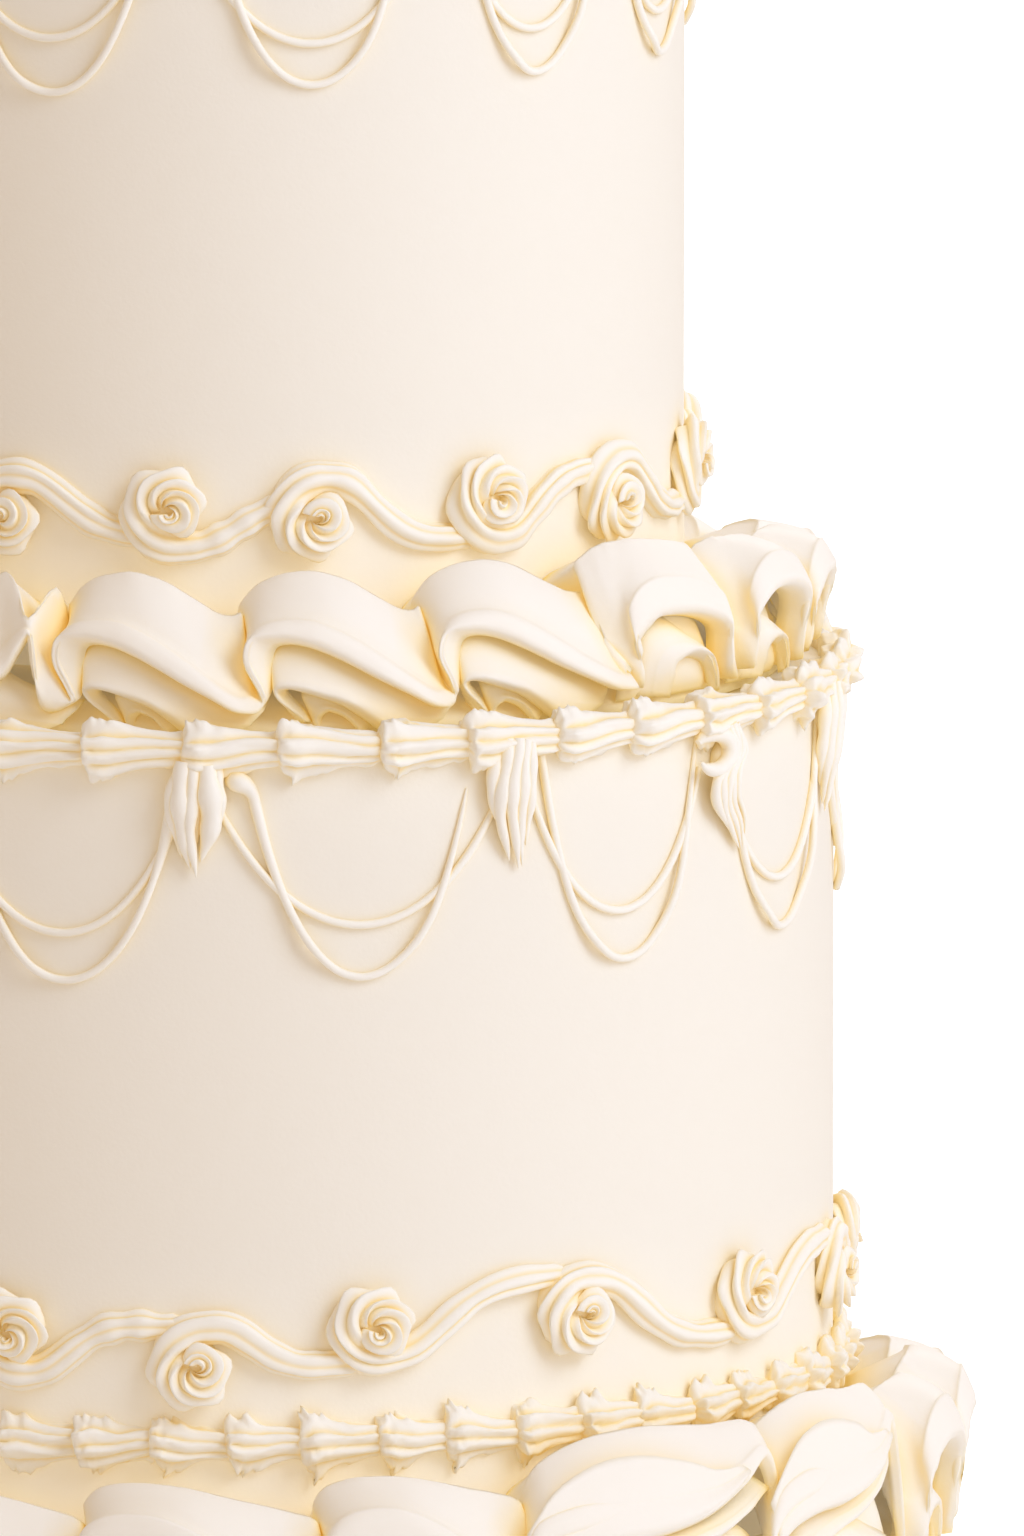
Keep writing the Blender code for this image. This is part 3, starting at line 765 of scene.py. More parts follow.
def make_tassel(tier, azimuth, kind):
    """Paths and widths of a tassel's fingers, which lie side by side, part and end in points."""
    share = np.linspace(0, 1, 24)
    fingers = []
    for across, start, end, half in kind:
        x = through([[spot + hand.uniform(-.3, .3)] for spot in across], 12)[:, 0]
        x = np.interp(share, np.linspace(0, 1, len(x)), x) + 0.14 * np.sin(share * 9 + hand.uniform(0, 6))
        arch = 1 - 0.022 * (across[1] - (4.4 if kind is HOOKED else 0.0)) ** 2
        out = arch * np.interp(share, [0, .2, .45, .7, 1.0], [3.0, 3.3, 3.1, 2.1, 1.0])
        width = np.interp(share, [0, .1, .35, .55, .75, .9, .97, 1.0], [.8, 1.0, 1.12, 1.0, .72, .42, .2, .06])
        width = width * half * hand.uniform(0.92, 1.08) * (1 + 0.12 * np.sin(share * 17 + hand.uniform(0, 6)))
        down = start + (end - start) * share
        fingers.append((on_wall(azimuth, tier.radius, tier.top, x, out, -down), width * MM))
    if kind is HOOKED:
        round_it = np.linspace(0.2, 1.85, 24) * math.pi
        x, down = -0.8 - 4.1 * np.cos(round_it), 5.4 - 2.8 * np.sin(round_it)
        width = np.interp(share, [0, .12, .5, .85, 1.0], [.5, 1.35, 1.5, 1.1, .2])
        fingers.append((on_wall(azimuth, tier.radius, tier.top, x, 2.2 + share, -down), width * MM))
    middle = np.mean([across for across, *_ in kind], axis=0)
    share = np.linspace(0, 1, 12)
    x = np.interp(share, np.linspace(0, 1, len(middle)), middle)
    core = on_wall(azimuth, tier.radius, tier.top, x, 1.0, -2 - 12.5 * share)
    stout = 0.55 if kind is HOOKED else 1.0
    fingers.append((core, np.interp(share, [0, .3, .6, 1.0], [2.3, 2.5, 1.8, .4]) * stout * MM))
    return fingers


def pipe_lines(name, lines, sides, material):
    """Pipes round lines along paths, each given as its points and its radius at each point."""
    points, edges, widths = [], [], []
    for path, width in lines:
        edges += [(len(points) + i, len(points) + i + 1) for i in range(len(path) - 1)]
        points += list(path)
        widths += list(width)
    paths = line_piece(name + "_paths", points, edges, width=widths)
    return grow(name, LINE, paths, Sides=sides, Roughness=0.12 * MM, Grain_Size=900.0, Material=material)


def make_stringwork(name, tier, material):
    strings, fingers = [], []
    kinds = (FULL, PARTED, FULL, HOOKED, FULL, PARTED, FULL)
    for number, (here, there) in enumerate(gaps_between(spread_round(tier.tassels, tier.tassel_count))):
        strings += make_swag(tier, here, there, number % 3 == 1, number % 5 == 0)
        fingers += make_tassel(tier, here, kinds[number % len(kinds)])
    work = join(name, [pipe_lines(name, strings, STRING_SIDES, material),
                       pipe_lines(name + "_tassels", fingers, FINGER_SIDES, material)])
    turn_outwards(work)
    return work


# Ruffles

RIBBON_THICKNESS, HOOD_THICKNESS = 0.9 * MM, 0.8 * MM
RIBBON_WEAR = 0.05 * MM
# Steps to each span of a ribbon, along it and across it
RIBBON_STEPS = (4, 3)


def stations(*places):
    """A table of places: in a row for each station along a fold, five across the ribbon.

    They lie on its top edge, neck, crest and lip, and inwards under its lip. Each is the share of
    the way to the next fold, then millimetres up from the ledge and out from the wall.
    """
    return np.array(places, float).reshape(-1, 5, 3)


RIBBON = stations(
    (.04, 15.5, 8.8), (.07, 10, 13), (.098, 6.6, 18), (.105, 5.9, 18.8), (.13, 6, 17.4),
    (.045, 14.5, 8.4), (.072, 11.4, 12.2), (.078, 8.6, 17.8), (.082, 8.1, 18.7), (.16, 8, 16.9),
    (.035, 16.5, 8.2), (.055, 14.8, 11.8), (.02, 12.6, 17.9), (.018, 12.2, 18.8), (.165, 11.6, 16.5),
    (.015, 19, 8), (.045, 17.2, 12), (.042, 16.2, 18.1), (.04, 15.7, 19), (.18, 14, 16.6),
    (.062, 21.4, 8.2), (.085, 19.6, 12.6), (.125, 18.1, 18.2), (.155, 16.6, 19.3), (.228, 14.8, 17.3),
    (.145, 23.5, 8.9), (.185, 21, 13.6), (.25, 18.6, 18.4), (.285, 16.2, 19.6), (.32, 14.5, 17.8),
    (.28, 24.8, 9.9), (.33, 21.4, 14.4), (.385, 18, 18.9), (.415, 14.8, 20), (.43, 13.3, 18.4),
    (.43, 25, 10.6), (.48, 20.6, 15.2), (.53, 15.9, 19.4), (.545, 12.6, 20.4), (.555, 11.4, 18.9),
    (.6, 23.6, 11), (.64, 18.4, 15.6), (.69, 12.8, 19.9), (.69, 9.9, 20.8), (.695, 9, 19.3),
    (.77, 20.8, 10.9), (.79, 15.8, 15.6), (.82, 9.9, 20.3), (.83, 7.4, 21.2), (.84, 6.7, 19.8),
    (.89, 18.8, 10.7), (.905, 13.6, 15.6), (.925, 7.7, 20.4), (.94, 5.4, 21.2), (.945, 4.9, 19.7),
    (.97, 18.3, 10.8), (.99, 12.4, 15.2), (.99, 6.8, 19.9), (1.015, 4.8, 20.7), (1.02, 4.4, 19.2),
    (1.025, 18.6, 10.6), (1.045, 12.2, 14.4), (1.04, 6.8, 18.9), (1.07, 4.8, 19.8), (1.08, 4.6, 18.2),
)
INNER_HOOD = stations(
    (.3, 3, 12), (.3, 2.6, 14), (.325, 2.4, 15.3), (.335, 2.7, 16), (.38, 2.4, 14.5),
    (.25, 5, 12.5), (.235, 4.8, 14.8), (.26, 4.2, 16.1), (.27, 4.4, 16.8), (.34, 4.4, 14.5),
    (.2, 8, 12.5), (.172, 7.6, 15.2), (.186, 6.2, 16.8), (.198, 6.2, 17.5), (.29, 6, 14.8),
    (.175, 11.5, 13), (.155, 10.6, 15.6), (.16, 8.2, 17), (.17, 7.7, 17.9), (.25, 7.4, 15),
    (.2, 15.4, 13.2), (.165, 13.4, 15.9), (.178, 9.8, 17.6), (.205, 8.3, 18.4), (.27, 7.6, 15.8),
    (.32, 15.8, 13.8), (.27, 14, 16.4), (.28, 10, 18), (.28, 8.2, 18.8), (.33, 7.1, 16.4),
    (.46, 14.8, 14.2), (.41, 12.4, 17), (.4, 9, 18.4), (.385, 7.4, 19.1), (.42, 6.2, 16.8),
    (.62, 12.4, 14.8), (.57, 9.8, 17.6), (.53, 7.6, 18.7), (.5, 6.3, 19.3), (.52, 5, 17),
    (.8, 9.4, 15.4), (.75, 7.2, 18), (.67, 5.4, 18.9), (.61, 4.4, 19.4), (.62, 3, 17.2),
    (.98, 7, 15.6), (.93, 5.2, 17.8), (.82, 3.2, 18.8), (.72, 2.2, 19.2), (.73, .9, 17.4),
    (1.15, 6, 14), (1.12, 4.6, 16.4), (1.04, 2.4, 17.8), (.92, .8, 18.2), (.92, .3, 17.2),
)
LEAST_HOOD = stations(
    (.42, 2, 12), (.4, 1.5, 13.5), (.4, 1.2, 14.2), (.41, 1.4, 14.8), (.44, 1.2, 13.5),
    (.38, 5, 12.4), (.355, 4.4, 14.2), (.375, 3.2, 15), (.395, 3.2, 15.6), (.44, 3, 14),
    (.34, 8, 12.8), (.325, 6.6, 14.8), (.39, 4.9, 15.8), (.43, 4.4, 16.4), (.46, 3.8, 14.8),
    (.4, 9, 13.2), (.41, 7, 15.4), (.45, 5.3, 16.2), (.465, 4.6, 16.8), (.48, 3.8, 15),
    (.55, 7, 13.6), (.55, 5.6, 15.8), (.545, 4.3, 16.6), (.54, 3.5, 17.1), (.55, 2.8, 15.2),
    (.72, 4, 14), (.7, 3, 16), (.66, 1.7, 16.8), (.62, .9, 17.1), (.63, .4, 15.6),
)
OPEN_RIBBON = stations(
    (.1, 22, 9.5), (.08, 17.6, 12.5), (.1, 11.6, 15), (.2, 6.4, 16), (.26, 4.4, 15.6),
    (.18, 24.2, 10), (.14, 18.8, 14), (.2, 10, 17.8), (.28, 4.8, 19), (.32, 4.4, 17.2),
    (.25, 25.2, 10.4), (.19, 19.6, 14.8), (.235, 11.5, 18.6), (.272, 8.1, 19.3), (.34, 7.8, 17.2),
    (.32, 25.8, 10.6), (.27, 21.4, 14.8), (.205, 15.6, 18.5), (.22, 11.5, 19.5), (.32, 10.6, 17.2),
    (.4, 26.1, 10.8), (.36, 22.8, 15), (.265, 18.6, 18.3), (.25, 13.6, 19.6), (.35, 12.2, 17.4),
    (.5, 26.3, 10.9), (.47, 23.6, 14.9), (.385, 20.4, 18.1), (.35, 15.5, 19.6), (.41, 13.8, 17.6),
    (.62, 26.3, 11), (.58, 23.8, 14.9), (.52, 20.8, 18.1), (.467, 16, 19.7), (.5, 14.6, 16.2),
    (.76, 26.1, 11), (.73, 23.6, 14.9), (.695, 20.4, 18.1), (.674, 15.8, 19.7), (.7, 14.4, 15.6),
    (.9, 25.6, 11), (.88, 22.8, 14.9), (.865, 19, 18.3), (.85, 14.6, 19.8), (.87, 13.4, 15.2),
    (1, 24.8, 11.2), (.985, 21, 15.2), (.98, 16.8, 18.8), (.967, 12.6, 19.9), (.97, 11.8, 15),
    (1.07, 23, 11.4), (1.04, 18, 15.8), (1.01, 12, 19.2), (.972, 9, 19.8), (.98, 8.6, 15),
    (1.1, 21.2, 11.4), (1.07, 15.2, 15.8), (1.04, 8.4, 19), (.99, 5.4, 19.6), (.99, 5.2, 15),
    (1.12, 20, 11.2), (1.09, 12.6, 14.8), (1.09, 6, 18.2), (1.09, 3.6, 18.8), (1.06, 3.4, 15.4),
)
OPEN_CURTAIN = stations(
    (.22, 11, 14.2), (.22, 9.5, 15), (.22, 6.5, 15.4), (.22, 4, 15.6), (.23, 2, 14.8),
    (.42, 14.8, 14.6), (.42, 11.8, 15.4), (.42, 8, 15.8), (.42, 4, 16), (.42, 2, 15),
    (.66, 15.2, 14.6), (.66, 12, 15.4), (.66, 8, 15.8), (.66, 4, 16), (.66, 2, 15),
    (.88, 13.6, 14.4), (.88, 11, 15.2), (.88, 7.4, 15.6), (.88, 4, 15.8), (.88, 2, 14.8),
    (1.02, 9, 14), (1.02, 7.4, 14.6), (1.02, 5, 14.8), (1.02, 3, 15), (1.02, 1.6, 14.2),
)
OPEN_HOOD = stations(
    (.34, 2.6, 13), (.36, 2.6, 15.5), (.45, 2.4, 16.6), (.545, 2.2, 17.2), (.56, 2, 15.5),
    (.32, 8, 13.5), (.35, 7.4, 16), (.46, 6.2, 17.2), (.57, 5, 17.7), (.6, 4.8, 15.6),
    (.35, 13.2, 14), (.38, 11.8, 16.6), (.49, 9, 17.8), (.575, 7.3, 18.1), (.61, 6.6, 15.8),
    (.5, 15.4, 14.5), (.52, 13.2, 17), (.58, 10.2, 18.2), (.65, 8.7, 18.4), (.67, 7.6, 16),
    (.66, 13.6, 14.6), (.68, 11.8, 17), (.73, 10, 18.2), (.775, 8.9, 18.4), (.78, 7.6, 16),
    (.8, 10.6, 14.6), (.82, 9.7, 17), (.86, 8.6, 18), (.885, 7.7, 18.2), (.88, 6.5, 16),
    (.9, 7, 14.6), (.92, 6.4, 16.8), (.94, 5.6, 17.8), (.935, 5, 18), (.92, 4.4, 16),
    (.97, 3.6, 14.4), (.98, 3, 16.4), (.98, 2.4, 17.4), (.96, 2, 17.6), (.95, 1.6, 16),
)
PINCHED_END = stations(
    (.7, 24.6, 11), (.73, 19.6, 15.4), (.76, 13.6, 19), (.77, 10.6, 20), (.78, 9.6, 18.6),
    (.8, 22.6, 14), (.82, 19.6, 17), (.84, 16.4, 19.4), (.85, 14.4, 20), (.85, 13.2, 18.4),
    (.89, 18.8, 18.2), (.9, 17.9, 19), (.905, 17, 19.6), (.91, 16.2, 19.8), (.91, 15, 18.2),
    (.97, 22.6, 11.4), (.96, 18, 15), (.95, 12.6, 18.2), (.95, 6, 19.6), (.96, 4.6, 18),
)
PINCHED_RIBBON = np.concatenate([RIBBON[:9], PINCHED_END])
LEAF_RIBBON = stations(
    (.03, 20, 9), (.02, 15, 12.5), (0, 8, 16.5), (0, 4, 18.2), (.03, 3.6, 16.6),
    (.05, 22, 9), (.01, 17, 13.4), (-.05, 11, 18), (-.06, 7.4, 19.2), (.02, 7.2, 17),
    (.07, 24, 9.2), (.03, 19.4, 14.2), (-.06, 15, 18.6), (-.075, 11.4, 19.7), (.03, 10.8, 17.2),
    (.12, 26, 9.6), (.08, 21.6, 14.8), (0, 18.4, 18.8), (-.02, 15, 19.8), (.06, 13.6, 17.4),
    (.22, 27.8, 10.2), (.19, 23.2, 15), (.13, 20, 18.8), (.11, 17, 19.7), (.16, 15.2, 17.6),
    (.34, 28.9, 10.6), (.32, 24.2, 15.2), (.27, 20.2, 18.6), (.26, 17, 19.5), (.28, 15, 17.6),
    (.46, 29.2, 10.8), (.45, 24.4, 15), (.42, 20.2, 18.4), (.42, 16.8, 19.3), (.42, 14.8, 17.6),
    (.58, 29, 11), (.58, 24.4, 15), (.57, 20.4, 18.2), (.57, 17.2, 19.1), (.57, 15.2, 17.4),
    (.7, 28.6, 11.2), (.71, 24.6, 14.8), (.72, 21.4, 17.8), (.72, 18.6, 18.7), (.71, 16.6, 17),
    (.82, 28.2, 11.4), (.83, 25.2, 14.6), (.85, 23, 17), (.86, 21, 17.8), (.85, 19.2, 16.2),
    (.93, 28.2, 11.6), (.94, 26.2, 14.2), (.96, 24.8, 16), (.97, 23.6, 16.8), (.95, 22, 15.2),
    (1, 27.6, 11.8), (1.01, 25.2, 14.4), (1.02, 22, 16.2), (1.02, 19, 17), (1, 17.4, 15.4),
    (1.05, 25.6, 11.6), (1.06, 21, 14), (1.07, 14, 16.6), (1.07, 8, 17.8), (1.06, 7, 16.2),
)
LEAF_PETAL = stations(
    (-.06, 17, 18.6), (-.05, 15, 19.2), (-.05, 13, 19.6), (-.05, 11, 19.9), (-.04, 9.5, 18.6),
    (.06, 22.6, 17.8), (.06, 20, 18.4), (.05, 17, 19.2), (.05, 14, 20.2), (.06, 12.5, 18.8),
    (.22, 26, 17.4), (.22, 22.6, 17.8), (.22, 19, 18.9), (.22, 15.6, 20.6), (.22, 14, 18.8),
    (.4, 26.6, 17.4), (.4, 23.2, 17.8), (.4, 19.6, 18.9), (.4, 16, 20.6), (.4, 14.4, 18.8),
    (.56, 25.2, 17.6), (.57, 22.8, 17.9), (.58, 20, 18.8), (.58, 17.2, 20.4), (.58, 15.6, 18.6),
    (.7, 23, 17.9), (.71, 21.8, 18.2), (.72, 20.6, 18.6), (.73, 19.2, 19.7), (.72, 17.6, 18.2),
    (.82, 23, 17.8), (.83, 22.7, 18), (.84, 22.4, 18.2), (.84, 22, 18.8), (.83, 21, 17.8),
)
LEAF_HOOD = stations(
    (.1, 2.6, 13), (.12, 2.6, 15.5), (.18, 2.4, 16.6), (.26, 2.2, 17.2), (.28, 2, 15.5),
    (.08, 8, 13.5), (.11, 7.6, 16), (.18, 6.8, 17.4), (.27, 6, 17.8), (.3, 5.6, 15.6),
    (.14, 13.6, 14), (.16, 12.4, 16.6), (.24, 10.6, 18), (.31, 9.4, 18.4), (.34, 8.4, 15.8),
    (.3, 15.4, 14.5), (.32, 14.2, 17), (.37, 12.4, 18.2), (.42, 11.2, 18.5), (.44, 9.8, 16),
    (.5, 15.6, 14.6), (.52, 14.6, 17), (.55, 13.4, 18.2), (.58, 12.4, 18.4), (.58, 10.8, 16),
    (.7, 16.6, 14.4), (.72, 15.8, 16.6), (.74, 15, 17.6), (.76, 14.2, 17.8), (.75, 12.6, 15.8),
    (.86, 18.6, 14), (.87, 17.8, 15.8), (.89, 17.2, 16.6), (.9, 16.6, 16.8), (.89, 15.2, 15),
    (.97, 20.6, 13), (.98, 19.6, 14.6), (.99, 19, 15.4), (1, 18.4, 15.6), (.99, 17.2, 14.4),
)
# How high the top edge of a slanting fold stands at its stations, in mm, in the lower border
LOWER_TOPS = np.array([18.6, 18.2, 19.6, 22.4, 25.0, 26.2, 26.6, 26.2, 24.8, 23.2, 22.0, 21.2, 20.2])
# How much further along a fold the last stations of one lie whose end runs far under the next
LONG_END = np.array([0, 0, 0, 0, 0, 0, 0, .01, .03, .06, .10, .13, .16])
LONG_RIBBON = RIBBON + LONG_END[:, None, None] * np.array([1, 0, 0])
# How far an open fold flares at its stations, and how each place on it then moves
FLARE = np.array([0, .1, .3, .5, .7, .9, 1, 1, .9, .6, .2, 0, 0])
FLARED_PLACES = np.array([(0, .0, 1.0), (0, 1.5, 1.8), (0, 3.0, 2.2), (0, 2.8, 2.5), (0, 2.6, 1.6)])
FLARED_RIBBON = OPEN_RIBBON + FLARE[:, None, None] * FLARED_PLACES
# Each kind of fold: its face, how far it sags above the crest, and the hoods and curtains inside it
FOLDS = {"slanting": (RIBBON, 0.7, (INNER_HOOD, LEAST_HOOD)),
         "long": (LONG_RIBBON, 0.7, (INNER_HOOD, LEAST_HOOD)),
         "open": (OPEN_RIBBON, 0.0, (OPEN_HOOD, OPEN_CURTAIN)),
         "flared": (FLARED_RIBBON, 0.0, (OPEN_HOOD, OPEN_CURTAIN)),
         "leaf": (LEAF_RIBBON, 0.2, (LEAF_HOOD, LEAF_PETAL, INNER_HOOD, OPEN_CURTAIN)),
         "pinched": (PINCHED_RIBBON, 0.3, (INNER_HOOD,))}
# The bed of icing under a ribbon: millimetres out from the wall and up from the ledge
BED = ((-1, 9), (6, 8), (11, 5.5), (14, 2.5), (15, .2), (-1, .2))
BED_SIDES = 160
BED_UNEVENNESS, BED_SWELL_SIZE = 0.8 * MM, 60.0


class Folds:
    """Where the folds of a ribbon border lie, and how each differs a little from the next."""

    def __init__(self, tier):
        self.tier = tier
        starts = spread_round(tier.folds, len(tier.fold_kinds))
        self.starts = np.array(starts + [starts[0] + 360, starts[1] + 360])
        self.rise = self.each(0.96, 1.03, tier.fold_rises)
        self.reach = self.each(-0.6, 0.5, tier.fold_reaches)

    def each(self, low, high, given):
        values = hand.uniform(low, high, len(self.tier.fold_kinds))
        values[:len(given)] = given
        return np.concatenate([values, values[:2]])

    def place(self, fold, spots):
        """Points of spots of one fold."""
        order = np.arange(len(self.starts))
        azimuth = np.interp(fold + spots[..., 0], order, self.starts)
        up = spots[..., 1] * np.interp(fold + spots[..., 0], order, self.rise)
        out = spots[..., 2] + np.interp(fold + spots[..., 0], order, self.reach)
        return on_ring(azimuth, self.tier.radius + out * MM, self.tier.ledge + up * MM)


def with_shoulder(table, sag, rooted):
    """A table's stations with one place more just above the crest, sunk by sag, and a root on the wall."""
    top, neck, crest, lip, inward = table.transpose(1, 0, 2)
    above = 0.24 * neck + 0.76 * crest - np.array([0, 0.4 * sag, sag])
    behind = top - np.array([0, 1.0, 1.4])
    root = np.stack([top[:, 0], top[:, 1] - 5.0, 0.0 * top[:, 2]], -1)
    return np.stack([root, behind] * rooted + [top, neck, above, crest, lip, inward], axis=1)


def ribbon_rows(rails, closed, thickness):
    """Rows round the section of a ribbon whose face runs through the rails of its stations."""
    sheet = sheet_through(rails, *RIBBON_STEPS, closed)
    if closed:
        along = np.roll(sheet, -1, 0) - np.roll(sheet, 1, 0)
    else:
        along = np.gradient(sheet, axis=0)
    normal = unit(np.cross(along, np.gradient(sheet, axis=1)))
    if (normal * unit(sheet * np.array([1, 1, 0]))).sum() < 0:
        normal = -normal
    last = rails.shape[1] - 1
    share = np.linspace(-last, 0, sheet.shape[1])
    thick = np.interp(share, [-5, -4.8, -2.5, -1.5, -1, 0], [.35, .75, 1.0, .9, .5, .4]) * thickness
    wear = hand.normal(0, 1, (sheet.shape[0], 1, 3))
    wear = (wear + np.roll(wear, 1, 0) + np.roll(wear, 2, 0)) * RIBBON_WEAR
    at_edges = (np.exp(-((share + 5) / 0.3) ** 2) + np.exp(-((share + 1) / 0.25) ** 2))[None, :, None]
    sheet = sheet + wear * at_edges
    back = sheet - normal * thick[None, :, None]
    return np.concatenate([sheet, back[:, ::-1]], axis=1)


def make_ruffle(name, tier, material):
    """A ribbon border in folds, each with its own hoods, over a bed of icing."""
    folds, kinds, lip_rise = Folds(tier), tier.fold_kinds, tier.lip_rise
    faces = {kind: with_shoulder(table, sag, True) for kind, (table, sag, _) in FOLDS.items()}
    for kind in ("slanting", "long"):
        faces[kind][:, 4:6, 1] *= lip_rise
        faces[kind][:, 3, 1] *= (1 + lip_rise) / 2
        if lip_rise > 1:
            faces[kind][:, :3, 1] = LOWER_TOPS[:, None] - np.array([5.0, 1.0, 0.0])
    rails = np.concatenate([folds.place(fold, faces[kind]) for fold, kind in enumerate(kinds)])
    pieces = [mesh_piece(name, *skin(ribbon_rows(rails, True, RIBBON_THICKNESS), closed=True), material)]
    for fold, kind in enumerate(kinds):
        for table in FOLDS[kind][2]:
            rails = folds.place(fold, with_shoulder(table, 0.0, False))
            pieces.append(mesh_piece(name, *skin(ribbon_rows(rails, False, HOOD_THICKNESS)), material))
    bed = [(tier.radius + out * MM, tier.ledge + up * MM) for out, up in BED]
    pieces.append(turn_round(name, bed, BED_SIDES, BED_UNEVENNESS, BED_SWELL_SIZE, material))
    made = join(name, pieces)
    turn_outwards(made)
    return made


# The room

# The camera has a very long lens, for the photo's near-parallel view, and looks a little down
CAMERA_AIM = Vector((0.0494, 0.0, 0.1224))
CAMERA_DISTANCE = 5.654
CAMERA_ELEVATION = 7.8
CAMERA_LENS = 850.0
CAMERA_SIGHT = 60.0
# Each light's azimuth, elevation, size, power and colour
LIGHTS = {"key": (55.0, 36.0, 1.3, 22.5, (0.71, 0.83, 1.0)),
          "side": (68.0, 8.0, 1.0, 3.8, (0.75, 0.84, 1.0)),
          "back": (168.0, 30.0, 1.0, 9.0, (0.8, 0.87, 1.0))}
LIGHT_DISTANCE = 2.2
CAKE_MIDDLE = Vector((0.0, 0.0, 0.14))
ROOM_COLOUR, ROOM_STRENGTH = (1.0, 0.80, 0.61, 1.0), 0.607
FLOOR_COLOUR, FLOOR_STRENGTH = (0.75, 0.9, 1.0, 1.0), 0.8


def make_camera():
    camera = add_object("camera", bpy.data.cameras.new("camera"))
    tilt = math.radians(CAMERA_ELEVATION)
    back = Vector((0.0, -math.cos(tilt), math.sin(tilt))) * CAMERA_DISTANCE
    camera.location = CAMERA_AIM + back
    camera.rotation_euler = (math.pi / 2 - tilt, 0.0, 0.0)
    camera.data.lens = CAMERA_LENS
    camera.data.sensor_width = 36.0
    camera.data.clip_end = CAMERA_SIGHT
    bpy.context.scene.camera = camera


def make_light(name, azimuth, elevation, size, power, colour):
    lamp = bpy.data.lights.new(name, "AREA")
    lamp.shape = "DISK"
    lamp.size = size
    lamp.energy = power
    lamp.color = colour
    light = add_object(name, lamp)
    rise = math.radians(elevation)
    place = Vector(on_ring(azimuth, LIGHT_DISTANCE * math.cos(rise), LIGHT_DISTANCE * math.sin(rise)))
    light.location = place + CAKE_MIDDLE
    light.rotation_euler = (-place).to_track_quat("-Z", "Y").to_euler()


def make_floor():
    """A white floor, which the camera sees with a little light of its own."""
    bpy.ops.mesh.primitive_plane_add(size=40.0)
    floor = bpy.context.object
    floor.name = "floor"
    paint = bpy.data.materials.new("pale_floor")
    paint.use_nodes = True
    tree, nodes = Tree(paint.node_tree), paint.node_tree.nodes
    shader = nodes["Principled BSDF"]
    tree.feed(shader.inputs["Base Color"], (1.0, 1.0, 1.0, 1.0))
    tree.feed(shader.inputs["Roughness"], 0.9)
    white = tree.node("ShaderNodeEmission", {"Color": FLOOR_COLOUR, "Strength": FLOOR_STRENGTH})
    both = tree.node("ShaderNodeAddShader", {0: shader.outputs[0], 1: white})
    seen = tree.node("ShaderNodeLightPath", {}, output="Is Camera Ray")
    pick = tree.node("ShaderNodeMixShader", {"Fac": seen, 1: shader.outputs[0], 2: both})
    tree.feed(nodes["Material Output"].inputs["Surface"], pick)
    floor.data.materials.append(paint)


def make_room():
    """A warm soft room with a large soft lamp from the right, two weaker ones and a white floor."""
    world = bpy.data.worlds.new("room")
    world.use_nodes = True
    scene = bpy.context.scene
    scene.world = world
    glow = world.node_tree.nodes["Background"]
    glow.inputs["Color"].default_value = ROOM_COLOUR
    glow.inputs["Strength"].default_value = ROOM_STRENGTH
    for name, values in LIGHTS.items():
        make_light(name, *values)
    make_floor()
    scene.view_settings.view_transform = "Standard"
    scene.cycles.max_bounces = 6
    scene.cycles.diffuse_bounces = 4
    scene.cycles.glossy_bounces = 1


ICING = icing_group()
TURNED = turned_tree()
BORDER = border_tree()
LINE = line_tree()

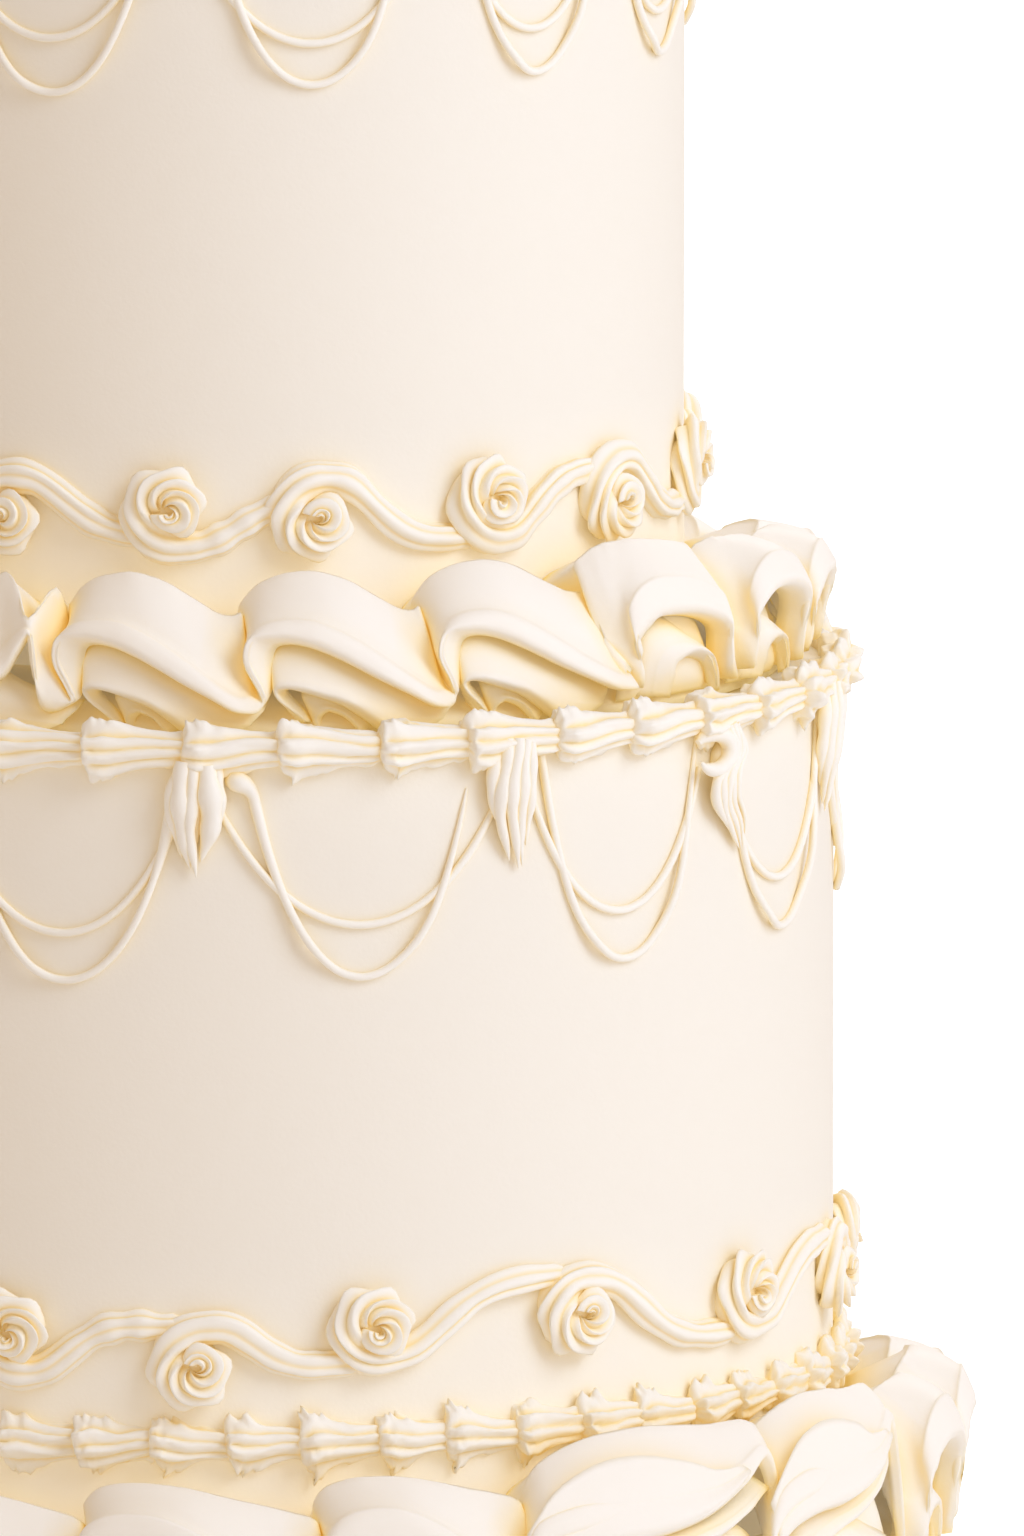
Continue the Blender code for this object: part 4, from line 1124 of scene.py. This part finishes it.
make_camera()
make_room()
# Each icing's Crease colour is painted shade and its glows are painted light, in creases, grooves and cavities
covering = icing_material("covering", 0.04 * MM, Face=(.915, .88, .815, 1), Crease=(.94, .86, .66, 1),
                          Glow=(.185, .165, .125, 1), Deep_Glow=(.0, .0, .0, 1), Groove_Tint=0.2, Groove_Glow=0.8,
                          Cavity_Glow=0.3, Crease_Reach=6 * MM, Crease_Falloff=1.15, Grain_Size=1500.0,
                          Cloud_Amount=0.04)
piped = icing_material("piped_cream", 0.03 * MM, Face=(.955, .94, .905, 1), Crease=(.955, .755, .34, 1),
                       Glow=(.14, .13, .11, 1), Deep_Glow=(.07, .05, .015, 1), Groove_Tint=0.85, Groove_Glow=0.1,
                       Cavity_Glow=1.0, Crease_Reach=6 * MM, Crease_Falloff=1.15, Grain_Size=700.0,
                       Cloud_Amount=0.05)
ribbon = icing_material("ribbon_cream", 0.04 * MM, Face=(.965, .94, .905, 1), Crease=(.96, .74, .22, 1),
                        Glow=(.235, .195, .125, 1), Deep_Glow=(.10, .065, .01, 1), Groove_Tint=0.0, Groove_Glow=0.0,
                        Cavity_Glow=1.0, Crease_Reach=7 * MM, Crease_Falloff=0.95, Grain_Size=900.0,
                        Cloud_Amount=0.05)


def place(piece, node, slot):
    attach(piece, "root")
    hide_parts(node)


place(make_coat("lower_tier_coat", LOWER, covering), "lower_tier", "covering")
place(make_coat("upper_tier_coat", UPPER, covering), "upper_tier", "covering")
for name, node, tier in (("lower_edge_piping", "lower_edge_shells", LOWER),
                         ("upper_edge_piping", "upper_edge_shells", UPPER)):
    shells = make_border(name, EDGE_SHELL, piped, Radius=tier.radius + 0.4 * MM, Height=tier.top - 0.2 * MM,
                         Shift=0.05, Size_Change=0.06, Tilt_Change=0.03, **tier.edge_shells)
    place(shells, node, "piped_cream")
band = make_border("lower_band_piping", BAND_SHELL, piped, Radius=LOWER.radius + 0.2 * MM, Height=BAND_HEIGHT,
                   Shift=0.06, Size_Change=0.08, Tilt_Change=0.05, Count=54, First=-3.3 + 6.67 / 2, Seed=5)
place(band, "lower_band_shells", "piped_cream")
place(make_scrolls("upper_scroll_piping", UPPER, piped), "upper_scrolls", "piped_cream")
place(make_scrolls("lower_scroll_piping", LOWER, piped), "lower_scrolls", "piped_cream")
place(make_stringwork("upper_strings", UPPER, piped), "upper_stringwork", "piped_cream")
place(make_stringwork("lower_strings", LOWER, piped), "lower_stringwork", "piped_cream")
place(make_ruffle("upper_ribbon", UPPER, ribbon), "upper_ruffle", "ribbon_cream")
place(make_ruffle("lower_ribbon", LOWER, ribbon), "lower_ruffle", "ribbon_cream")
